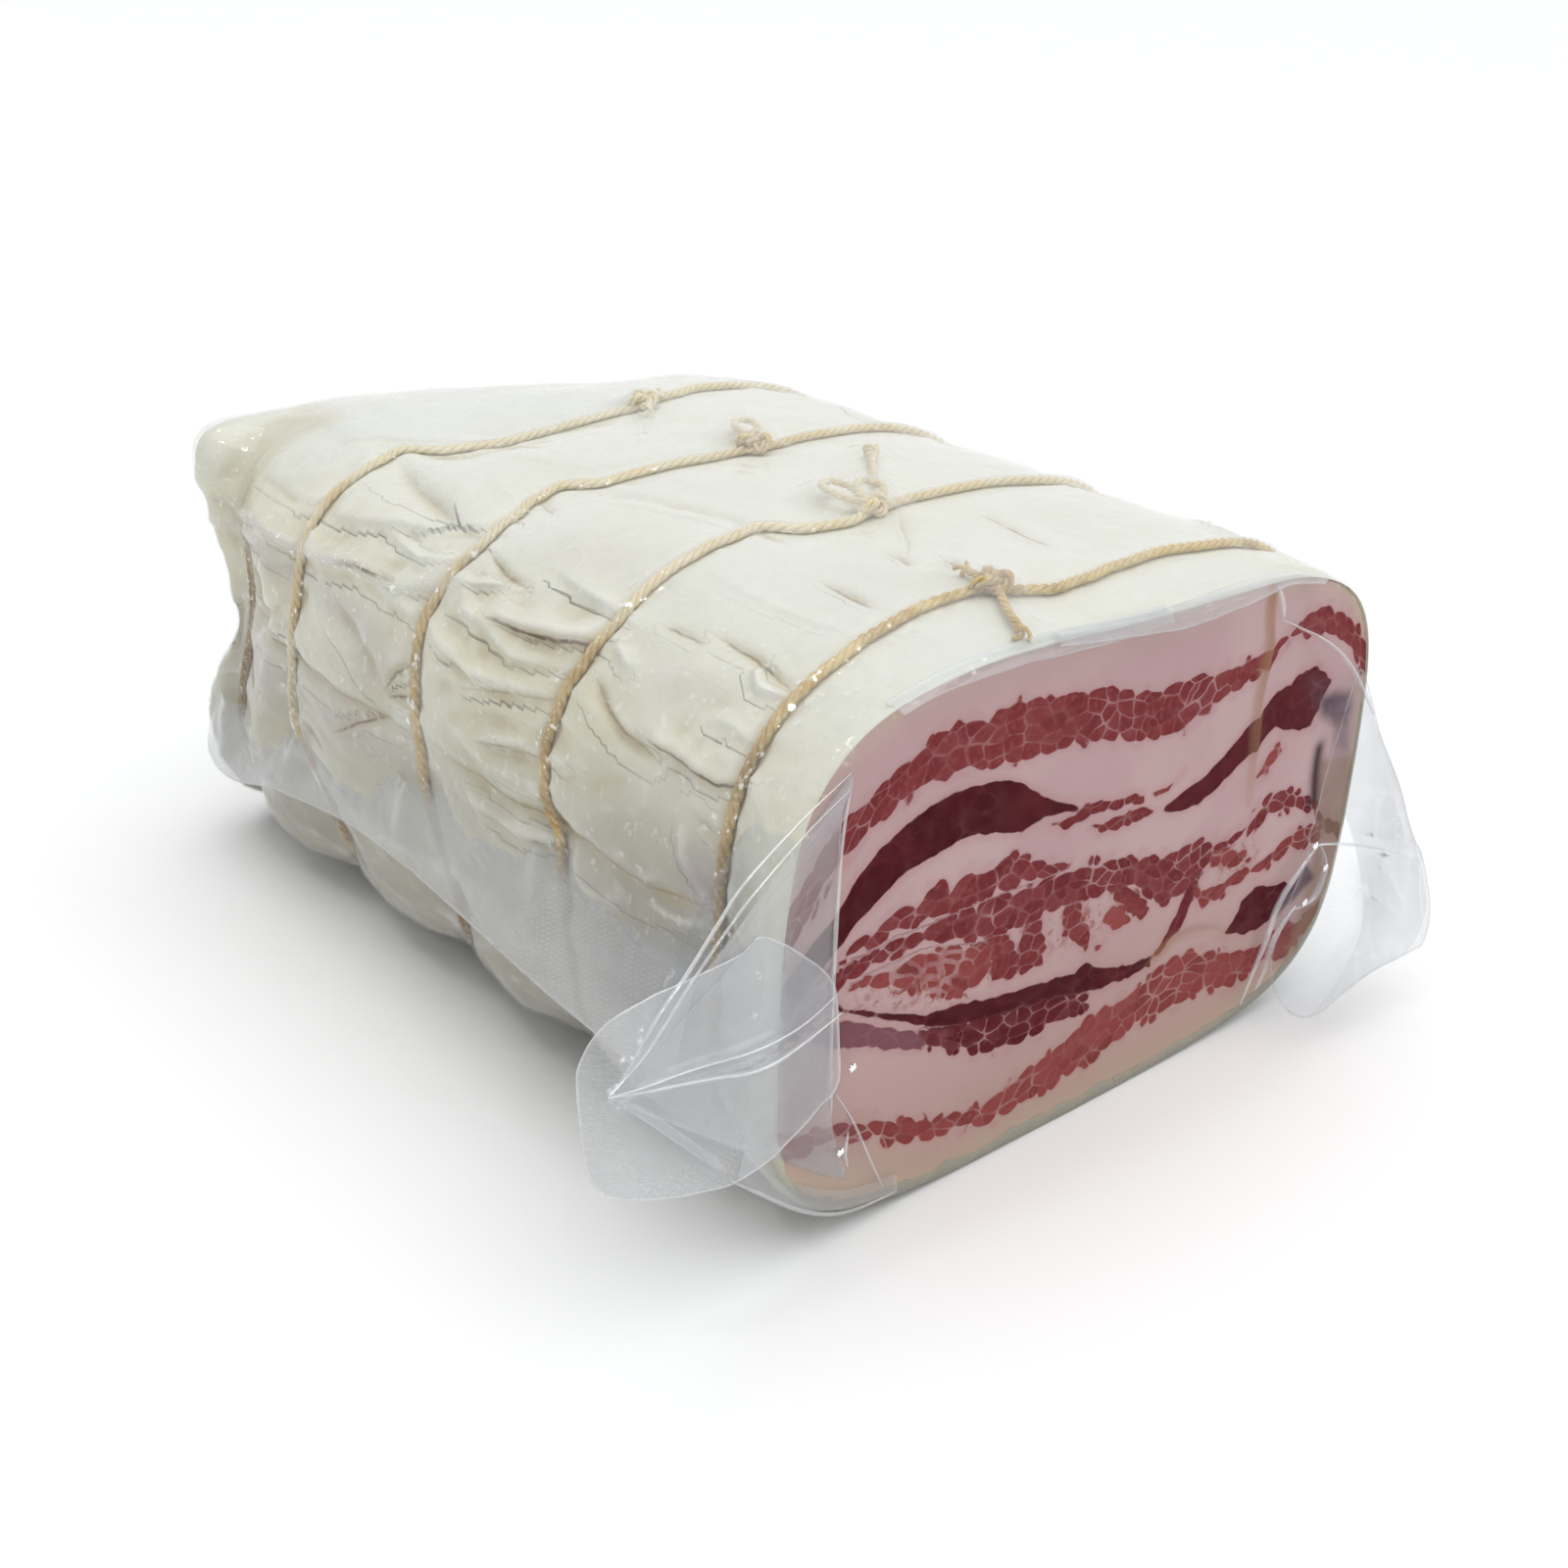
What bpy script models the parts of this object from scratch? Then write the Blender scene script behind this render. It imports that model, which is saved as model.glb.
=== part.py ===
"""Vacuum-packed half pancetta: a tied, cased block of cured pork belly, cut at one end, in a clear pouch.

Lengths are in millimetres and angles in degrees; add_mesh turns lengths into Blender's metres.
In the working frame +X runs to the right across the cut face, +Y from the cut face to the back end,
and +Z up, with z = 0 on the table. The last step moves everything so that the origin is at the
middle of the footprint, on the table.
"""

import math

import bmesh
import bpy
from mathutils import Vector, noise

MM = 0.001

# Driving dimensions of the block
LENGTH = 222.0
WIDTH = 162.0
HEIGHT = 110.0
TIE_FIRST = 18.7
TIE_PITCH = 50.0
TIE_LAST = 204.5
TIES = [TIE_FIRST + TIE_PITCH * step for step in range(4)] + [TIE_LAST]
TWINE = 2.8
TWINE_FLAT = 0.8
CLEARANCE = 0.35
UNDER_TIE = 3.7
GROOVE = 1.5

# Reach of the pouch beyond the block
REACH_LEFT = 125.0
REACH_RIGHT = 97.4
REACH_FRONT = 19.0
REACH_BACK = 228.0
FILM = 1.2
TENT_END = TIE_FIRST - 2.1
TIE_GAP = 2.4
SEAM_OUT = CLEARANCE + TWINE * TWINE_FLAT + FILM

# Heights of the side seam where it leaves the block and at its free edge, along the block
SEAM_TOP = [(20, 56.0), (58, 58.5), (220, 41.0)]
SEAM_LOW = [(20, 31.0), (52, 31.0), (112, 37.0), (170, 31.0), (206, 24.0), (228, 31.0)]
SEAM_HANG = [(20, 4.0), (60, 6.5), (112, 3.0), (170, 4.5), (206, 2.0), (228, 0.0)]

# Section of the block: a squared-off oval about this centre
MID_Z = (UNDER_TIE + HEIGHT) / 2
HALF_W = WIDTH / 2
HALF_H = (HEIGHT - UNDER_TIE) / 2
SQUARE_TOP = 3.9
SQUARE_LOW = 4.4
AROUND = 72

# How far the lobes between the ties stand out, by the angle round the section
LOBE_SWELL = [(0, 2.6), (30, 1.1), (60, 0.6), (90, 0.9), (130, 1.3), (160, 2.4), (185, 3.0),
              (212, 5.2), (250, 4.9), (290, 4.9), (328, 4.4), (360, 2.6)]
LOBE_SHAPE = 0.7
LOBE_GAIN = [0.95, 1.0, 1.1, 1.3]
END_SWELL = 0.8

# Dips and rises of the top: x, y, height, reach along x and reach along y
SAGS = [(-35, 168, -4.5, 32, 22), (-45, 120, -2.5, 20, 18), (-50, 69, 2.0, 20, 16),
        (-20, 19, 2.0, 22, 14), (42, 222, -8.8, 38, 34), (-10, 222, -4.5, 50, 22), (12, 0, -3.0, 62, 13)]

# Cut face and back end
FACE_ROUND = [(0.0, 0.9), (1.2, 0.0)]
BACK_ROUND = [(216.0, 0.3), (220.5, 1.2), (222.0, 3.2)]
BACK_DENT = 15.0
BACK_DENT_Z = 60.0
BACK_DENT_REACH = 13.0
BACK_PINCH = 5.0
BACK_PINCH_Z = 70.0
BACK_PINCH_REACH = 24.0
BACK_CORNER = 6.5
BACK_CORNER_AT = 150
BACK_CORNER_REACH = 9

# Soft unevenness of the cased surface
DENT_DEPTH = 0.7
DENT_SIZE = 24.0


def clear_scene():
    for obj in list(bpy.data.objects):
        bpy.data.objects.remove(obj, do_unlink=True)


def material(name, colour, roughness):
    mat = bpy.data.materials.new(name)
    mat.use_nodes = True
    shader = mat.node_tree.nodes["Principled BSDF"]
    shader.inputs["Base Color"].default_value = (*colour, 1.0)
    shader.inputs["Roughness"].default_value = roughness
    shader.inputs["Metallic"].default_value = 0.0
    return mat


def add_mesh(name, points, faces, mat=None):
    """A new object from points in millimetres."""
    mesh = bpy.data.meshes.new(name)
    mesh.from_pydata([tuple(c * MM for c in p) for p in points], [], faces)
    mesh.validate()
    obj = bpy.data.objects.new(name, mesh)
    bpy.context.scene.collection.objects.link(obj)
    if mat:
        mesh.materials.append(mat)
    face_out(obj)
    return obj


def face_out(obj):
    bm = bmesh.new()
    bm.from_mesh(obj.data)
    bmesh.ops.recalc_face_normals(bm, faces=bm.faces)
    bm.to_mesh(obj.data)
    bm.free()


def smooth_step(value, low, high):
    t = min(1.0, max(0.0, (value - low) / (high - low)))
    return t * t * (3 - 2 * t)


def between(pairs, at):
    """Reads a list of (position, value) pairs, blended smoothly from each to the next."""
    for (a, low), (b, high) in zip(pairs, pairs[1:]):
        if a <= at <= b:
            return low + (high - low) * smooth_step(at, a, b)
    return pairs[0][1] if at < pairs[0][0] else pairs[-1][1]


def oval_radius(angle):
    """Radius of the squared-off oval in a direction, in degrees from +X towards +Z."""
    c, s = math.cos(math.radians(angle)), math.sin(math.radians(angle))
    n = SQUARE_TOP if s > 0 else SQUARE_LOW
    return (abs(c / HALF_W) ** n + abs(s / HALF_H) ** n) ** (-1 / n)


def even_angles(count):
    """Directions that split the oval's outline into equal lengths, starting at the underside."""
    fine = [-90 + 360 * i / 2880 for i in range(2881)]
    spots = [(oval_radius(a) * math.cos(math.radians(a)), oval_radius(a) * math.sin(math.radians(a)))
             for a in fine]
    run = [0.0]
    for p, q in zip(spots, spots[1:]):
        run.append(run[-1] + math.dist(p, q))
    angles, at = [], 0
    for i in range(count):
        want = run[-1] * i / count
        while run[at + 1] < want:
            at += 1
        share = (want - run[at]) / (run[at + 1] - run[at])
        angles.append((fine[at] + share * (fine[at + 1] - fine[at])) % 360)
    return angles


def lobe(y):
    """0 in the groove of a tie and about 1 midway between two."""
    if y < TIES[0] - GROOVE:
        return END_SWELL * (1 - (y / (TIES[0] - GROOVE)) ** 2)
    if y > TIES[-1] + GROOVE:
        return END_SWELL * smooth_step(y, TIES[-1] + GROOVE, TIES[-1] + 9)
    for a, b, gain in zip(TIES, TIES[1:], LOBE_GAIN):
        if a + GROOVE < y < b - GROOVE:
            return gain * math.sin(math.pi * (y - a - GROOVE) / (b - a - 2 * GROOVE)) ** LOBE_SHAPE
    return 0.0


def sag(x, y, z):
    lift = sum(h * math.exp(-((x - cx) / rx) ** 2 - ((y - cy) / ry) ** 2) for cx, cy, h, rx, ry in SAGS)
    return lift * max(0.0, (z - MID_Z) / HALF_H) ** 2


def dents(angle, y):
    """Gentle unevenness of the casing, least on the top, where the pouch lies tight."""
    x = oval_radius(angle) * math.cos(math.radians(angle))
    z = oval_radius(angle) * math.sin(math.radians(angle))
    flat_top = 1 - 0.6 * smooth_step(angle, 60, 90) * (1 - smooth_step(angle, 90, 125))
    return DENT_DEPTH * flat_top * noise.noise(Vector((x, y, z)) / DENT_SIZE)


def skin_point(angle, y, inset=0.0):
    """A point of the block's surface: the oval, swelled into lobes between the ties."""
    out = oval_radius(angle) + lobe(y) * (between(LOBE_SWELL, angle) + dents(angle, y)) - inset
    near_corner = math.exp(-((angle - BACK_CORNER_AT) / BACK_CORNER_REACH) ** 2)
    out += BACK_CORNER * near_corner * smooth_step(y, TIES[-1] + 1, LENGTH)
    x = out * math.cos(math.radians(angle))
    z = MID_Z + out * math.sin(math.radians(angle))
    z += sag(x, y, z)
    outer = smooth_step(abs(x), 45, HALF_W)
    dent = outer * math.exp(-((z - BACK_DENT_Z) / BACK_DENT_REACH) ** 2)
    pinch = outer * math.exp(-((z - BACK_PINCH_Z) / BACK_PINCH_REACH) ** 2)
    x -= math.copysign(BACK_PINCH * pinch * smooth_step(y, TIES[-2] + 4, TIES[-1]), x)
    y -= BACK_DENT * dent * smooth_step(y, TIES[-1] + 2, LENGTH)
    return x, y, max(z, 0.0)


def stations():
    """(y, inset) of the rings that the block is lofted through, closer together near each tie."""
    rows = list(FACE_ROUND) + [(6.0, 0.0), (12.0, 0.0)]
    for y in TIES:
        rows += [(y - GROOVE, 0.0), (y + GROOVE, 0.0), (y + 3 * GROOVE, 0.0)]
    for a, b in zip(TIES, TIES[1:]):
        rows += [(a + (b - a) * share, 0.0) for share in (0.22, 0.41, 0.59, 0.78)]
        rows.append((b - 3 * GROOVE, 0.0))
    return sorted(rows + BACK_ROUND)


def block():
    """The cased block, closed by the flat cut face and the back end."""
    angles = even_angles(AROUND)
    points, faces = [], []
    rows = stations()
    for y, inset in rows:
        points += [skin_point(angle, y, inset) for angle in angles]
    for row in range(len(rows) - 1):
        for i in range(AROUND):
            j = (i + 1) % AROUND
            a, b = row * AROUND, (row + 1) * AROUND
            faces.append((a + i, a + j, b + j, b + i))
    last = (len(rows) - 1) * AROUND
    for edge, depth in ((0, 0.0), (last, LENGTH)):
        inner = len(points)
        for x, y, z in points[edge:edge + AROUND]:
            points.append((x * 0.6, depth + (y - depth) * 0.1, MID_Z + (z - MID_Z) * 0.6))
        points.append((0.0, depth, MID_Z))
        for i in range(AROUND):
            j = (i + 1) % AROUND
            faces.append((edge + i, edge + j, inner + j, inner + i))
            faces.append((inner + i, inner + j, inner + AROUND))
    return add_mesh("block", points, faces)


def hull(name, points):
    """The smallest convex solid round the points."""
    bm = bmesh.new()
    for p in points:
        bm.verts.new([c * MM for c in p])
    bmesh.ops.convex_hull(bm, input=bm.verts)
    bmesh.ops.delete(bm, geom=[v for v in bm.verts if not v.link_faces], context="VERTS")
    mesh = bpy.data.meshes.new(name)
    bm.to_mesh(mesh)
    bm.free()
    obj = bpy.data.objects.new(name, mesh)
    bpy.context.scene.collection.objects.link(obj)
    face_out(obj)
    return obj


def fan_sheet(name, middle, rim, across):
    """A thin sheet of film: triangles from its middle to its rim, given thickness along across."""
    count = len(rim)
    step = [c * FILM / 2 for c in Vector(across).normalized()]
    front = [tuple(p + s for p, s in zip(q, step)) for q in (middle, *rim)]
    back = [tuple(p - s for p, s in zip(q, step)) for q in (middle, *rim)]
    faces = []
    for i in range(count):
        j = (i + 1) % count
        faces.append((0, i + 1, j + 1))
        faces.append((count + 1, count + 2 + j, count + 2 + i))
        faces.append((i + 1, count + 2 + i, count + 2 + j, j + 1))
    return add_mesh(name, front + back, faces)


def strip_sheet(name, top_edge, low_edge, across):
    """A thin strip of film between two edges that have the same number of points."""
    step = [c * FILM / 2 for c in Vector(across).normalized()]
    count = len(top_edge)
    points = []
    for sign in (1, -1):
        for edge in (top_edge, low_edge):
            points += [tuple(p + sign * s for p, s in zip(q, step)) for q in edge]
    top, low, top_back, low_back = (count * i for i in range(4))
    faces = []
    for i in range(count - 1):
        faces.append((top + i, top + i + 1, low + i + 1, low + i))
        faces.append((top_back + i, low_back + i, low_back + i + 1, top_back + i + 1))
        faces.append((top + i, top_back + i, top_back + i + 1, top + i + 1))
        faces.append((low + i, low + i + 1, low_back + i + 1, low_back + i))
    faces.append((top, low, low_back, top_back))
    faces.append((top + count - 1, top_back + count - 1, low_back + count - 1, low + count - 1))
    return add_mesh(name, points, faces)


def left_ear():
    """The pouch's front left corner: a tent of film drawn out from the cut face, with its sealed border."""
    tent = hull("left_tent", [
        (-119.0, 0.6, 52.0), (-118.0, 2.0, 51.0), (-69.5, 0.6, 96.0), (-66.0, 0.6, 14.0),
        (-77.0, TENT_END, 84.0), (-77.0, TENT_END, 24.0), (-50.0, 6.0, 88.0), (-50.0, 6.0, 20.0),
    ])
    rim = [(-120.0, 2.6, 66.0), (-112.0, 1.0, 70.5), (-103.0, -0.2, 72.5), (-88.0, -0.6, 72.0),
           (-79.0, -0.6, 64.0), (-66.0, 0.4, 55.0), (-64.0, 0.4, 44.0), (-68.0, -0.2, 33.0),
           (-80.0, -2.2, 26.0), (-90.0, -3.4, 25.8), (-101.0, -3.6, 27.5), (-112.0, -2.6, 30.4),
           (-118.5, -1.0, 33.6), (-122.5, 1.4, 40.0), (-124.6, 3.0, 47.0), (-REACH_LEFT, 4.2, 55.0),
           (-123.4, 4.0, 61.5)]
    border = fan_sheet("left_border", (-117.6, -0.6, 52.0), rim, (0, 1, 0))
    return [tent, border]


def right_ear():
    """The pouch's front right corner: it droops forward and down past the face to the table."""
    tent = hull("right_tent", [
        (60.0, 2.0, 90.0), (77.0, TENT_END, 86.0), (77.0, TENT_END, 22.0), (58.0, 2.0, 14.0),
        (50.0, 8.0, 88.0), (50.0, 8.0, 20.0), (72.0, -3.6, 78.0), (82.5, -8.6, 61.5),
        (84.0, -12.4, 40.0), (78.0, -14.8, 18.0), (66.0, -14.0, 4.0), (58.0, -7.0, 12.0),
    ])
    rim = [(70.0, 0.0, 84.0), (72.5, -3.8, 78.5), (77.1, -6.5, 69.4), (83.0, -9.0, 61.8),
           (87.5, -10.4, 55.0), (89.6, -12.7, 47.3), (93.0, -14.0, 41.0), (95.4, -16.0, 34.6),
           (REACH_RIGHT, -18.0, 25.0), (94.0, -REACH_FRONT + FILM / 2, 16.4),
           (86.0, -17.4, 12.4), (79.6, -16.7, 10.1), (71.2, -15.9, 4.6), (64.6, -15.1, 1.0),
           (60.2, -13.6, 1.6), (58.0, -9.0, 10.0), (62.0, -6.0, 40.0), (64.0, -2.0, 66.0)]
    sheet = fan_sheet("right_sheet", (79.0, -12.6, 40.0), rim, (0, 1, 0))
    return [tent, sheet]


def seam_rows():
    """Places along a side seam: (y, how far it stands out from the block to bridge the ties)."""
    rows = [(TIES[0] + TIE_GAP, 0.0)]
    for a, b in zip(TIES, TIES[1:]):
        rows += [(a + (b - a) * share, 1.6) for share in (0.2, 0.4, 0.6, 0.8)]
        rows += [(b - 2.2 * TIE_GAP, 1.8), (b - TIE_GAP, SEAM_OUT), (b + TIE_GAP, SEAM_OUT),
                 (b + 2.2 * TIE_GAP, 1.8)]
    return rows + [(LENGTH - 6, 0.0), (REACH_BACK, 0.0)]


def side_seam(side):
    """The sealed border along a side: it leaves the block at mid height, bridges each tie and hangs
    down beside the block."""
    upper, lower = [], []
    for y, out in seam_rows():
        sway = math.sin(y * math.tau / 90 + (0.4 if side < 0 else 2.0))
        hang = HALF_W + SEAM_OUT + between(SEAM_HANG, y)
        upper.append((side * (HALF_W + out), y, between(SEAM_TOP, y)))
        lower.append((side * (hang + 0.8 * sway), y, between(SEAM_LOW, y) - 1.5 * sway))
    upper[-1] = (side * (HALF_W - 6.0), REACH_BACK, 38.0)
    lower[-1] = (side * (HALF_W - 1.0), REACH_BACK, 31.0)
    name = "left_seam" if side < 0 else "right_seam"
    return strip_sheet(name, upper, lower, (side, 0, 0.35))


def back_seam():
    """The sealed border across the back end, folded down against it."""
    steps = 13
    upper, lower = [], []
    for i in range(steps):
        share = i / (steps - 1)
        x = -72.0 + 144.0 * share
        sway = math.sin(3 * math.pi * share)
        upper.append((x, LENGTH - 14.0, 50.0 + 2 * sway))
        lower.append((x * 1.05, LENGTH + 4.0 + 1.2 * sway, 27.0 - 2.0 * sway))
    return strip_sheet("back_seam", upper, lower, (0, 1, 0.3))


def join(base, others, name):
    """One solid from several, by a Boolean union on a collection."""
    group = bpy.data.collections.new(name + "_parts")
    bpy.context.scene.collection.children.link(group)
    for obj in others:
        for holder in list(obj.users_collection):
            holder.objects.unlink(obj)
        group.objects.link(obj)
    union = base.modifiers.new("Join", "BOOLEAN")
    union.operation = "UNION"
    union.operand_type = "COLLECTION"
    union.collection = group
    union.solver = "MANIFOLD"
    graph = bpy.context.evaluated_depsgraph_get()
    joined = bpy.data.meshes.new_from_object(base.evaluated_get(graph))
    base.modifiers.clear()
    old = base.data
    base.data = joined
    bpy.data.meshes.remove(old)
    for obj in list(group.objects):
        bpy.data.objects.remove(obj, do_unlink=True)
    bpy.data.collections.remove(group)
    base.name = name
    joined.name = name
    return base


def ring_path(y):
    """The middle line of a tie: round the block, just clear of it."""
    path = []
    for angle in even_angles(AROUND):
        x, _, z = skin_point(angle, y)
        out = Vector((math.cos(math.radians(angle)), math.sin(math.radians(angle))))
        slope = Vector((math.copysign(abs(out.x) ** 3, out.x), math.copysign(abs(out.y) ** 3, out.y)))
        away = (slope.normalized() + out).normalized() * (CLEARANCE + TWINE * TWINE_FLAT / 2)
        path.append(((x + away.x, y, z + away.y), away.normalized()))
    return path


def tie_ring(name, y, mat):
    """The twine of one tie: a closed loop with a slightly flattened six-sided section."""
    sides = 6
    points, faces = [], []
    path = ring_path(y)
    for (x, y_mid, z), away in path:
        for k in range(sides):
            turn = 2 * math.pi * k / sides
            flat = math.cos(turn) * TWINE * TWINE_FLAT / 2
            points.append((x + away.x * flat, y_mid + math.sin(turn) * TWINE / 2, z + away.y * flat))
    for row in range(len(path)):
        nxt = (row + 1) % len(path)
        for k in range(sides):
            m = (k + 1) % sides
            faces.append((row * sides + k, row * sides + m, nxt * sides + m, nxt * sides + k))
    return add_mesh(name, points, faces, mat)


def top_height(x, y):
    """Height of the block's top surface at a place."""
    best = min((skin_point(a / 4, y) for a in range(4 * 20, 4 * 160)), key=lambda p: abs(p[0] - x))
    return best[2]


def knot_lump(name, centre, size):
    """The body of a knot: a low oval lump."""
    bm = bmesh.new()
    bmesh.ops.create_uvsphere(bm, u_segments=10, v_segments=6, radius=1.0)
    for v in bm.verts:
        v.co = Vector([(c + s * k) * MM for c, s, k in zip(centre, size, v.co)])
    mesh = bpy.data.meshes.new(name)
    bm.to_mesh(mesh)
    bm.free()
    obj = bpy.data.objects.new(name, mesh)
    bpy.context.scene.collection.objects.link(obj)
    return obj


def cord_end(name, route, radius, sides=6):
    """A short free end of twine, or a loop, laid on the block's top along a route of (x, y)."""
    points, faces = [], []
    spine = [Vector((x, y, top_height(x, y) + 0.6 + radius)) for x, y in route]
    for i, p in enumerate(spine):
        ahead = (spine[min(i + 1, len(spine) - 1)] - spine[max(i - 1, 0)]).normalized()
        side = ahead.cross(Vector((0, 0, 1))).normalized()
        rise = side.cross(ahead)
        for k in range(sides):
            turn = 2 * math.pi * k / sides
            points.append(tuple(p + side * radius * math.cos(turn) + rise * radius * math.sin(turn)))
    for row in range(len(spine) - 1):
        for k in range(sides):
            m = (k + 1) % sides
            a, b = row * sides, (row + 1) * sides
            faces.append((a + k, a + m, b + m, b + k))
    faces.append(tuple(range(sides)))
    faces.append(tuple(range((len(spine) - 1) * sides, len(spine) * sides)))
    return add_mesh(name, points, faces)


def arc(cx, cy, radius, start, end, steps):
    return [(cx + radius * math.cos(math.radians(start + (end - start) * i / steps)),
             cy + radius * math.sin(math.radians(start + (end - start) * i / steps))) for i in range(steps + 1)]


# Each knot: its tie, its x, half sizes of the lump, and the routes of its ends from the knot
KNOTS = [
    {"tie": 0, "x": -20.0, "size": (4.6, 3.2, 1.9), "ends": [[(0, 0), (3, -4), (6, -8), (10, -12)],
                                                            [(0, 0), (-5, 1.5), (-8, 3)]]},
    {"tie": 1, "x": -6.5, "size": (4.2, 3.4, 2.1), "ends": [[(0, 0), (5, 4), (9, 9), (14, 14)], "loop"]},
    {"tie": 2, "x": 7.0, "size": (4.2, 3.4, 2.1), "ends": [[(0, 0), (0, 4), (-2, 8)]]},
    {"tie": 3, "x": 16.5, "size": (3.8, 3.0, 1.9), "ends": [[(0, 0), (3, -3), (4, -6)]]},
]


def knot_parts(knot, mat):
    y = TIES[knot["tie"]]
    x = knot["x"]
    parts = []
    lump_z = top_height(x, y) + 0.5 + knot["size"][2]
    parts.append(knot_lump("lump", (x, y, lump_z), knot["size"]))
    for route in knot["ends"]:
        if route == "loop":
            spots = arc(x - 7.0, y + 3.0, 3.2, -40, 250, 9)
        else:
            spots = [(x + dx, y + dy) for dx, dy in route]
        parts.append(cord_end("end", spots, 1.1))
    for part in parts:
        part.data.materials.append(mat)
    return parts


def ties(mat):
    for index, y in enumerate(TIES):
        ring = tie_ring(f"tie_{index + 1}", y, mat)
        for knot in KNOTS:
            if knot["tie"] == index:
                ring = join(ring, knot_parts(knot, mat), ring.name)
        ring.data.shade_smooth()
        ring.data.set_sharp_from_angle(angle=math.radians(50))


def vacuum_pack(mat):
    """The clear sealed pouch with all that it holds, as one solid of its outer form."""
    body = block()
    sheets = [*left_ear(), *right_ear(), side_seam(-1), side_seam(1), back_seam()]
    pack = join(body, sheets, "vacuum_pack")
    pack.data.materials.clear()
    pack.data.materials.append(mat)
    pack.data.shade_smooth()
    pack.data.set_sharp_from_angle(angle=math.radians(40))


def centre_on_footprint():
    """Moves everything so that the origin is under the middle of the footprint."""
    shift = Vector((REACH_LEFT - REACH_RIGHT, REACH_FRONT - REACH_BACK, 0.0)) / 2 * MM
    for obj in bpy.data.objects:
        for v in obj.data.vertices:
            v.co += shift


def main():
    clear_scene()
    film = material("film", (0.86, 0.84, 0.76), 0.25)
    twine = material("twine", (0.72, 0.56, 0.33), 0.7)
    vacuum_pack(film)
    ties(twine)
    centre_on_footprint()


main()
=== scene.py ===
"""Looks of the vacuum-packed half pancetta: casing, cut face, twine and clear pouch.

Lengths are in millimetres, in the working frame of the part's source: +X to the right across the cut
face, +Y from the cut face to the back end, +Z up, with z = 0 on the table. A place on the block's
surface is given as (y, s), where s runs round the section in millimetres, from 0 at the left middle
over the top. place() turns working millimetres into the frame's metres.
"""
import math

import bpy
import numpy as np
from mathutils import Matrix, Vector, noise


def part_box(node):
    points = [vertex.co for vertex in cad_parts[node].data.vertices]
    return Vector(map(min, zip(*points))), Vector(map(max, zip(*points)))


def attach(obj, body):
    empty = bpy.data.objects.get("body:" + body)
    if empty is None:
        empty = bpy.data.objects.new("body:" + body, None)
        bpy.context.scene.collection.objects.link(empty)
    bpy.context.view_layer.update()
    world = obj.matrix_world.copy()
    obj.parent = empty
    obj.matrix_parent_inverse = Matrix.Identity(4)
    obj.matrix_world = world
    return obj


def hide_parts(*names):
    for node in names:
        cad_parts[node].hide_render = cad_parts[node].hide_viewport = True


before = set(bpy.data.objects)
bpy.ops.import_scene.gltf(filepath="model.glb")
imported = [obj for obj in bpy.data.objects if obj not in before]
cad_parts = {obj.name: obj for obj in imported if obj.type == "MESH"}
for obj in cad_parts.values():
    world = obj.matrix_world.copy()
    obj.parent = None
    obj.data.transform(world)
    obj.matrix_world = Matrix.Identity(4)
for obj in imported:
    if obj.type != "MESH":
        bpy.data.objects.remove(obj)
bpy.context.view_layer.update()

MM = 0.001

# The block, as in the part's source
LENGTH, WIDTH, HEIGHT = 222.0, 162.0, 110.0
TIES = [18.7, 68.7, 118.7, 168.7, 204.5]
TWINE, TWINE_FLAT, CLEARANCE, UNDER_TIE, GROOVE = 2.8, 0.8, 0.35, 3.7, 1.5
MID_Z, HALF_W, HALF_H = (UNDER_TIE + HEIGHT) / 2, WIDTH / 2, (HEIGHT - UNDER_TIE) / 2
SQUARE_TOP, SQUARE_LOW = 3.9, 4.4
LOBE_SWELL = [
    (0, 2.6), (30, 1.1), (60, 0.6), (90, 0.9), (130, 1.3), (160, 2.4), (185, 3.0), (212, 5.2), (250, 4.9),
    (290, 4.9), (328, 4.4), (360, 2.6),
]
LOBE_SHAPE, LOBE_GAIN, END_SWELL = 0.7, [0.95, 1.0, 1.1, 1.3], 0.8
SAGS = [
    (-35, 168, -4.5, 32, 22), (-45, 120, -2.5, 20, 18), (-50, 69, 2.0, 20, 16), (-20, 19, 2.0, 22, 14),
    (42, 222, -8.8, 38, 34), (-10, 222, -4.5, 50, 22), (12, 0, -3.0, 62, 13),
]
BACK_DENT, BACK_DENT_Z, BACK_DENT_REACH = 15.0, 60.0, 13.0
BACK_PINCH, BACK_PINCH_Z, BACK_PINCH_REACH = 5.0, 70.0, 24.0
BACK_CORNER, BACK_CORNER_AT, BACK_CORNER_REACH = 6.5, 150, 9
DENT_DEPTH, DENT_SIZE = 0.7, 24.0
SEAM_TOP = [(20, 56.0), (58, 58.5), (220, 41.0)]
SEAM_LOW = [(20, 31.0), (52, 31.0), (112, 37.0), (170, 31.0), (206, 24.0), (228, 31.0)]
SEAM_HANG = [(20, 4.0), (60, 6.5), (112, 3.0), (170, 4.5), (206, 2.0), (228, 0.0)]
SEAM_OUT = CLEARANCE + TWINE * TWINE_FLAT + 1.2

# The pouch's lowest corner in the working frame, and what the frame adds to it
POUCH_CORNER = np.array([-125.0, -19.0, 0.0])
SHIFT = np.array(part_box("vacuum_pack")[0]) / MM - POUCH_CORNER

# Camera, in the working frame
EYE = Vector((-267.9, -207.5, 231.3))
AZIMUTH, ELEVATION, ROLL = math.radians(-41.57), math.radians(25.61), math.radians(2.47)
LENS = 44.355


# Basic measures

def smooth_step(value, low, high):
    t = np.clip((value - low) / (high - low), 0.0, 1.0)
    return t * t * (3 - 2 * t)


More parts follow.
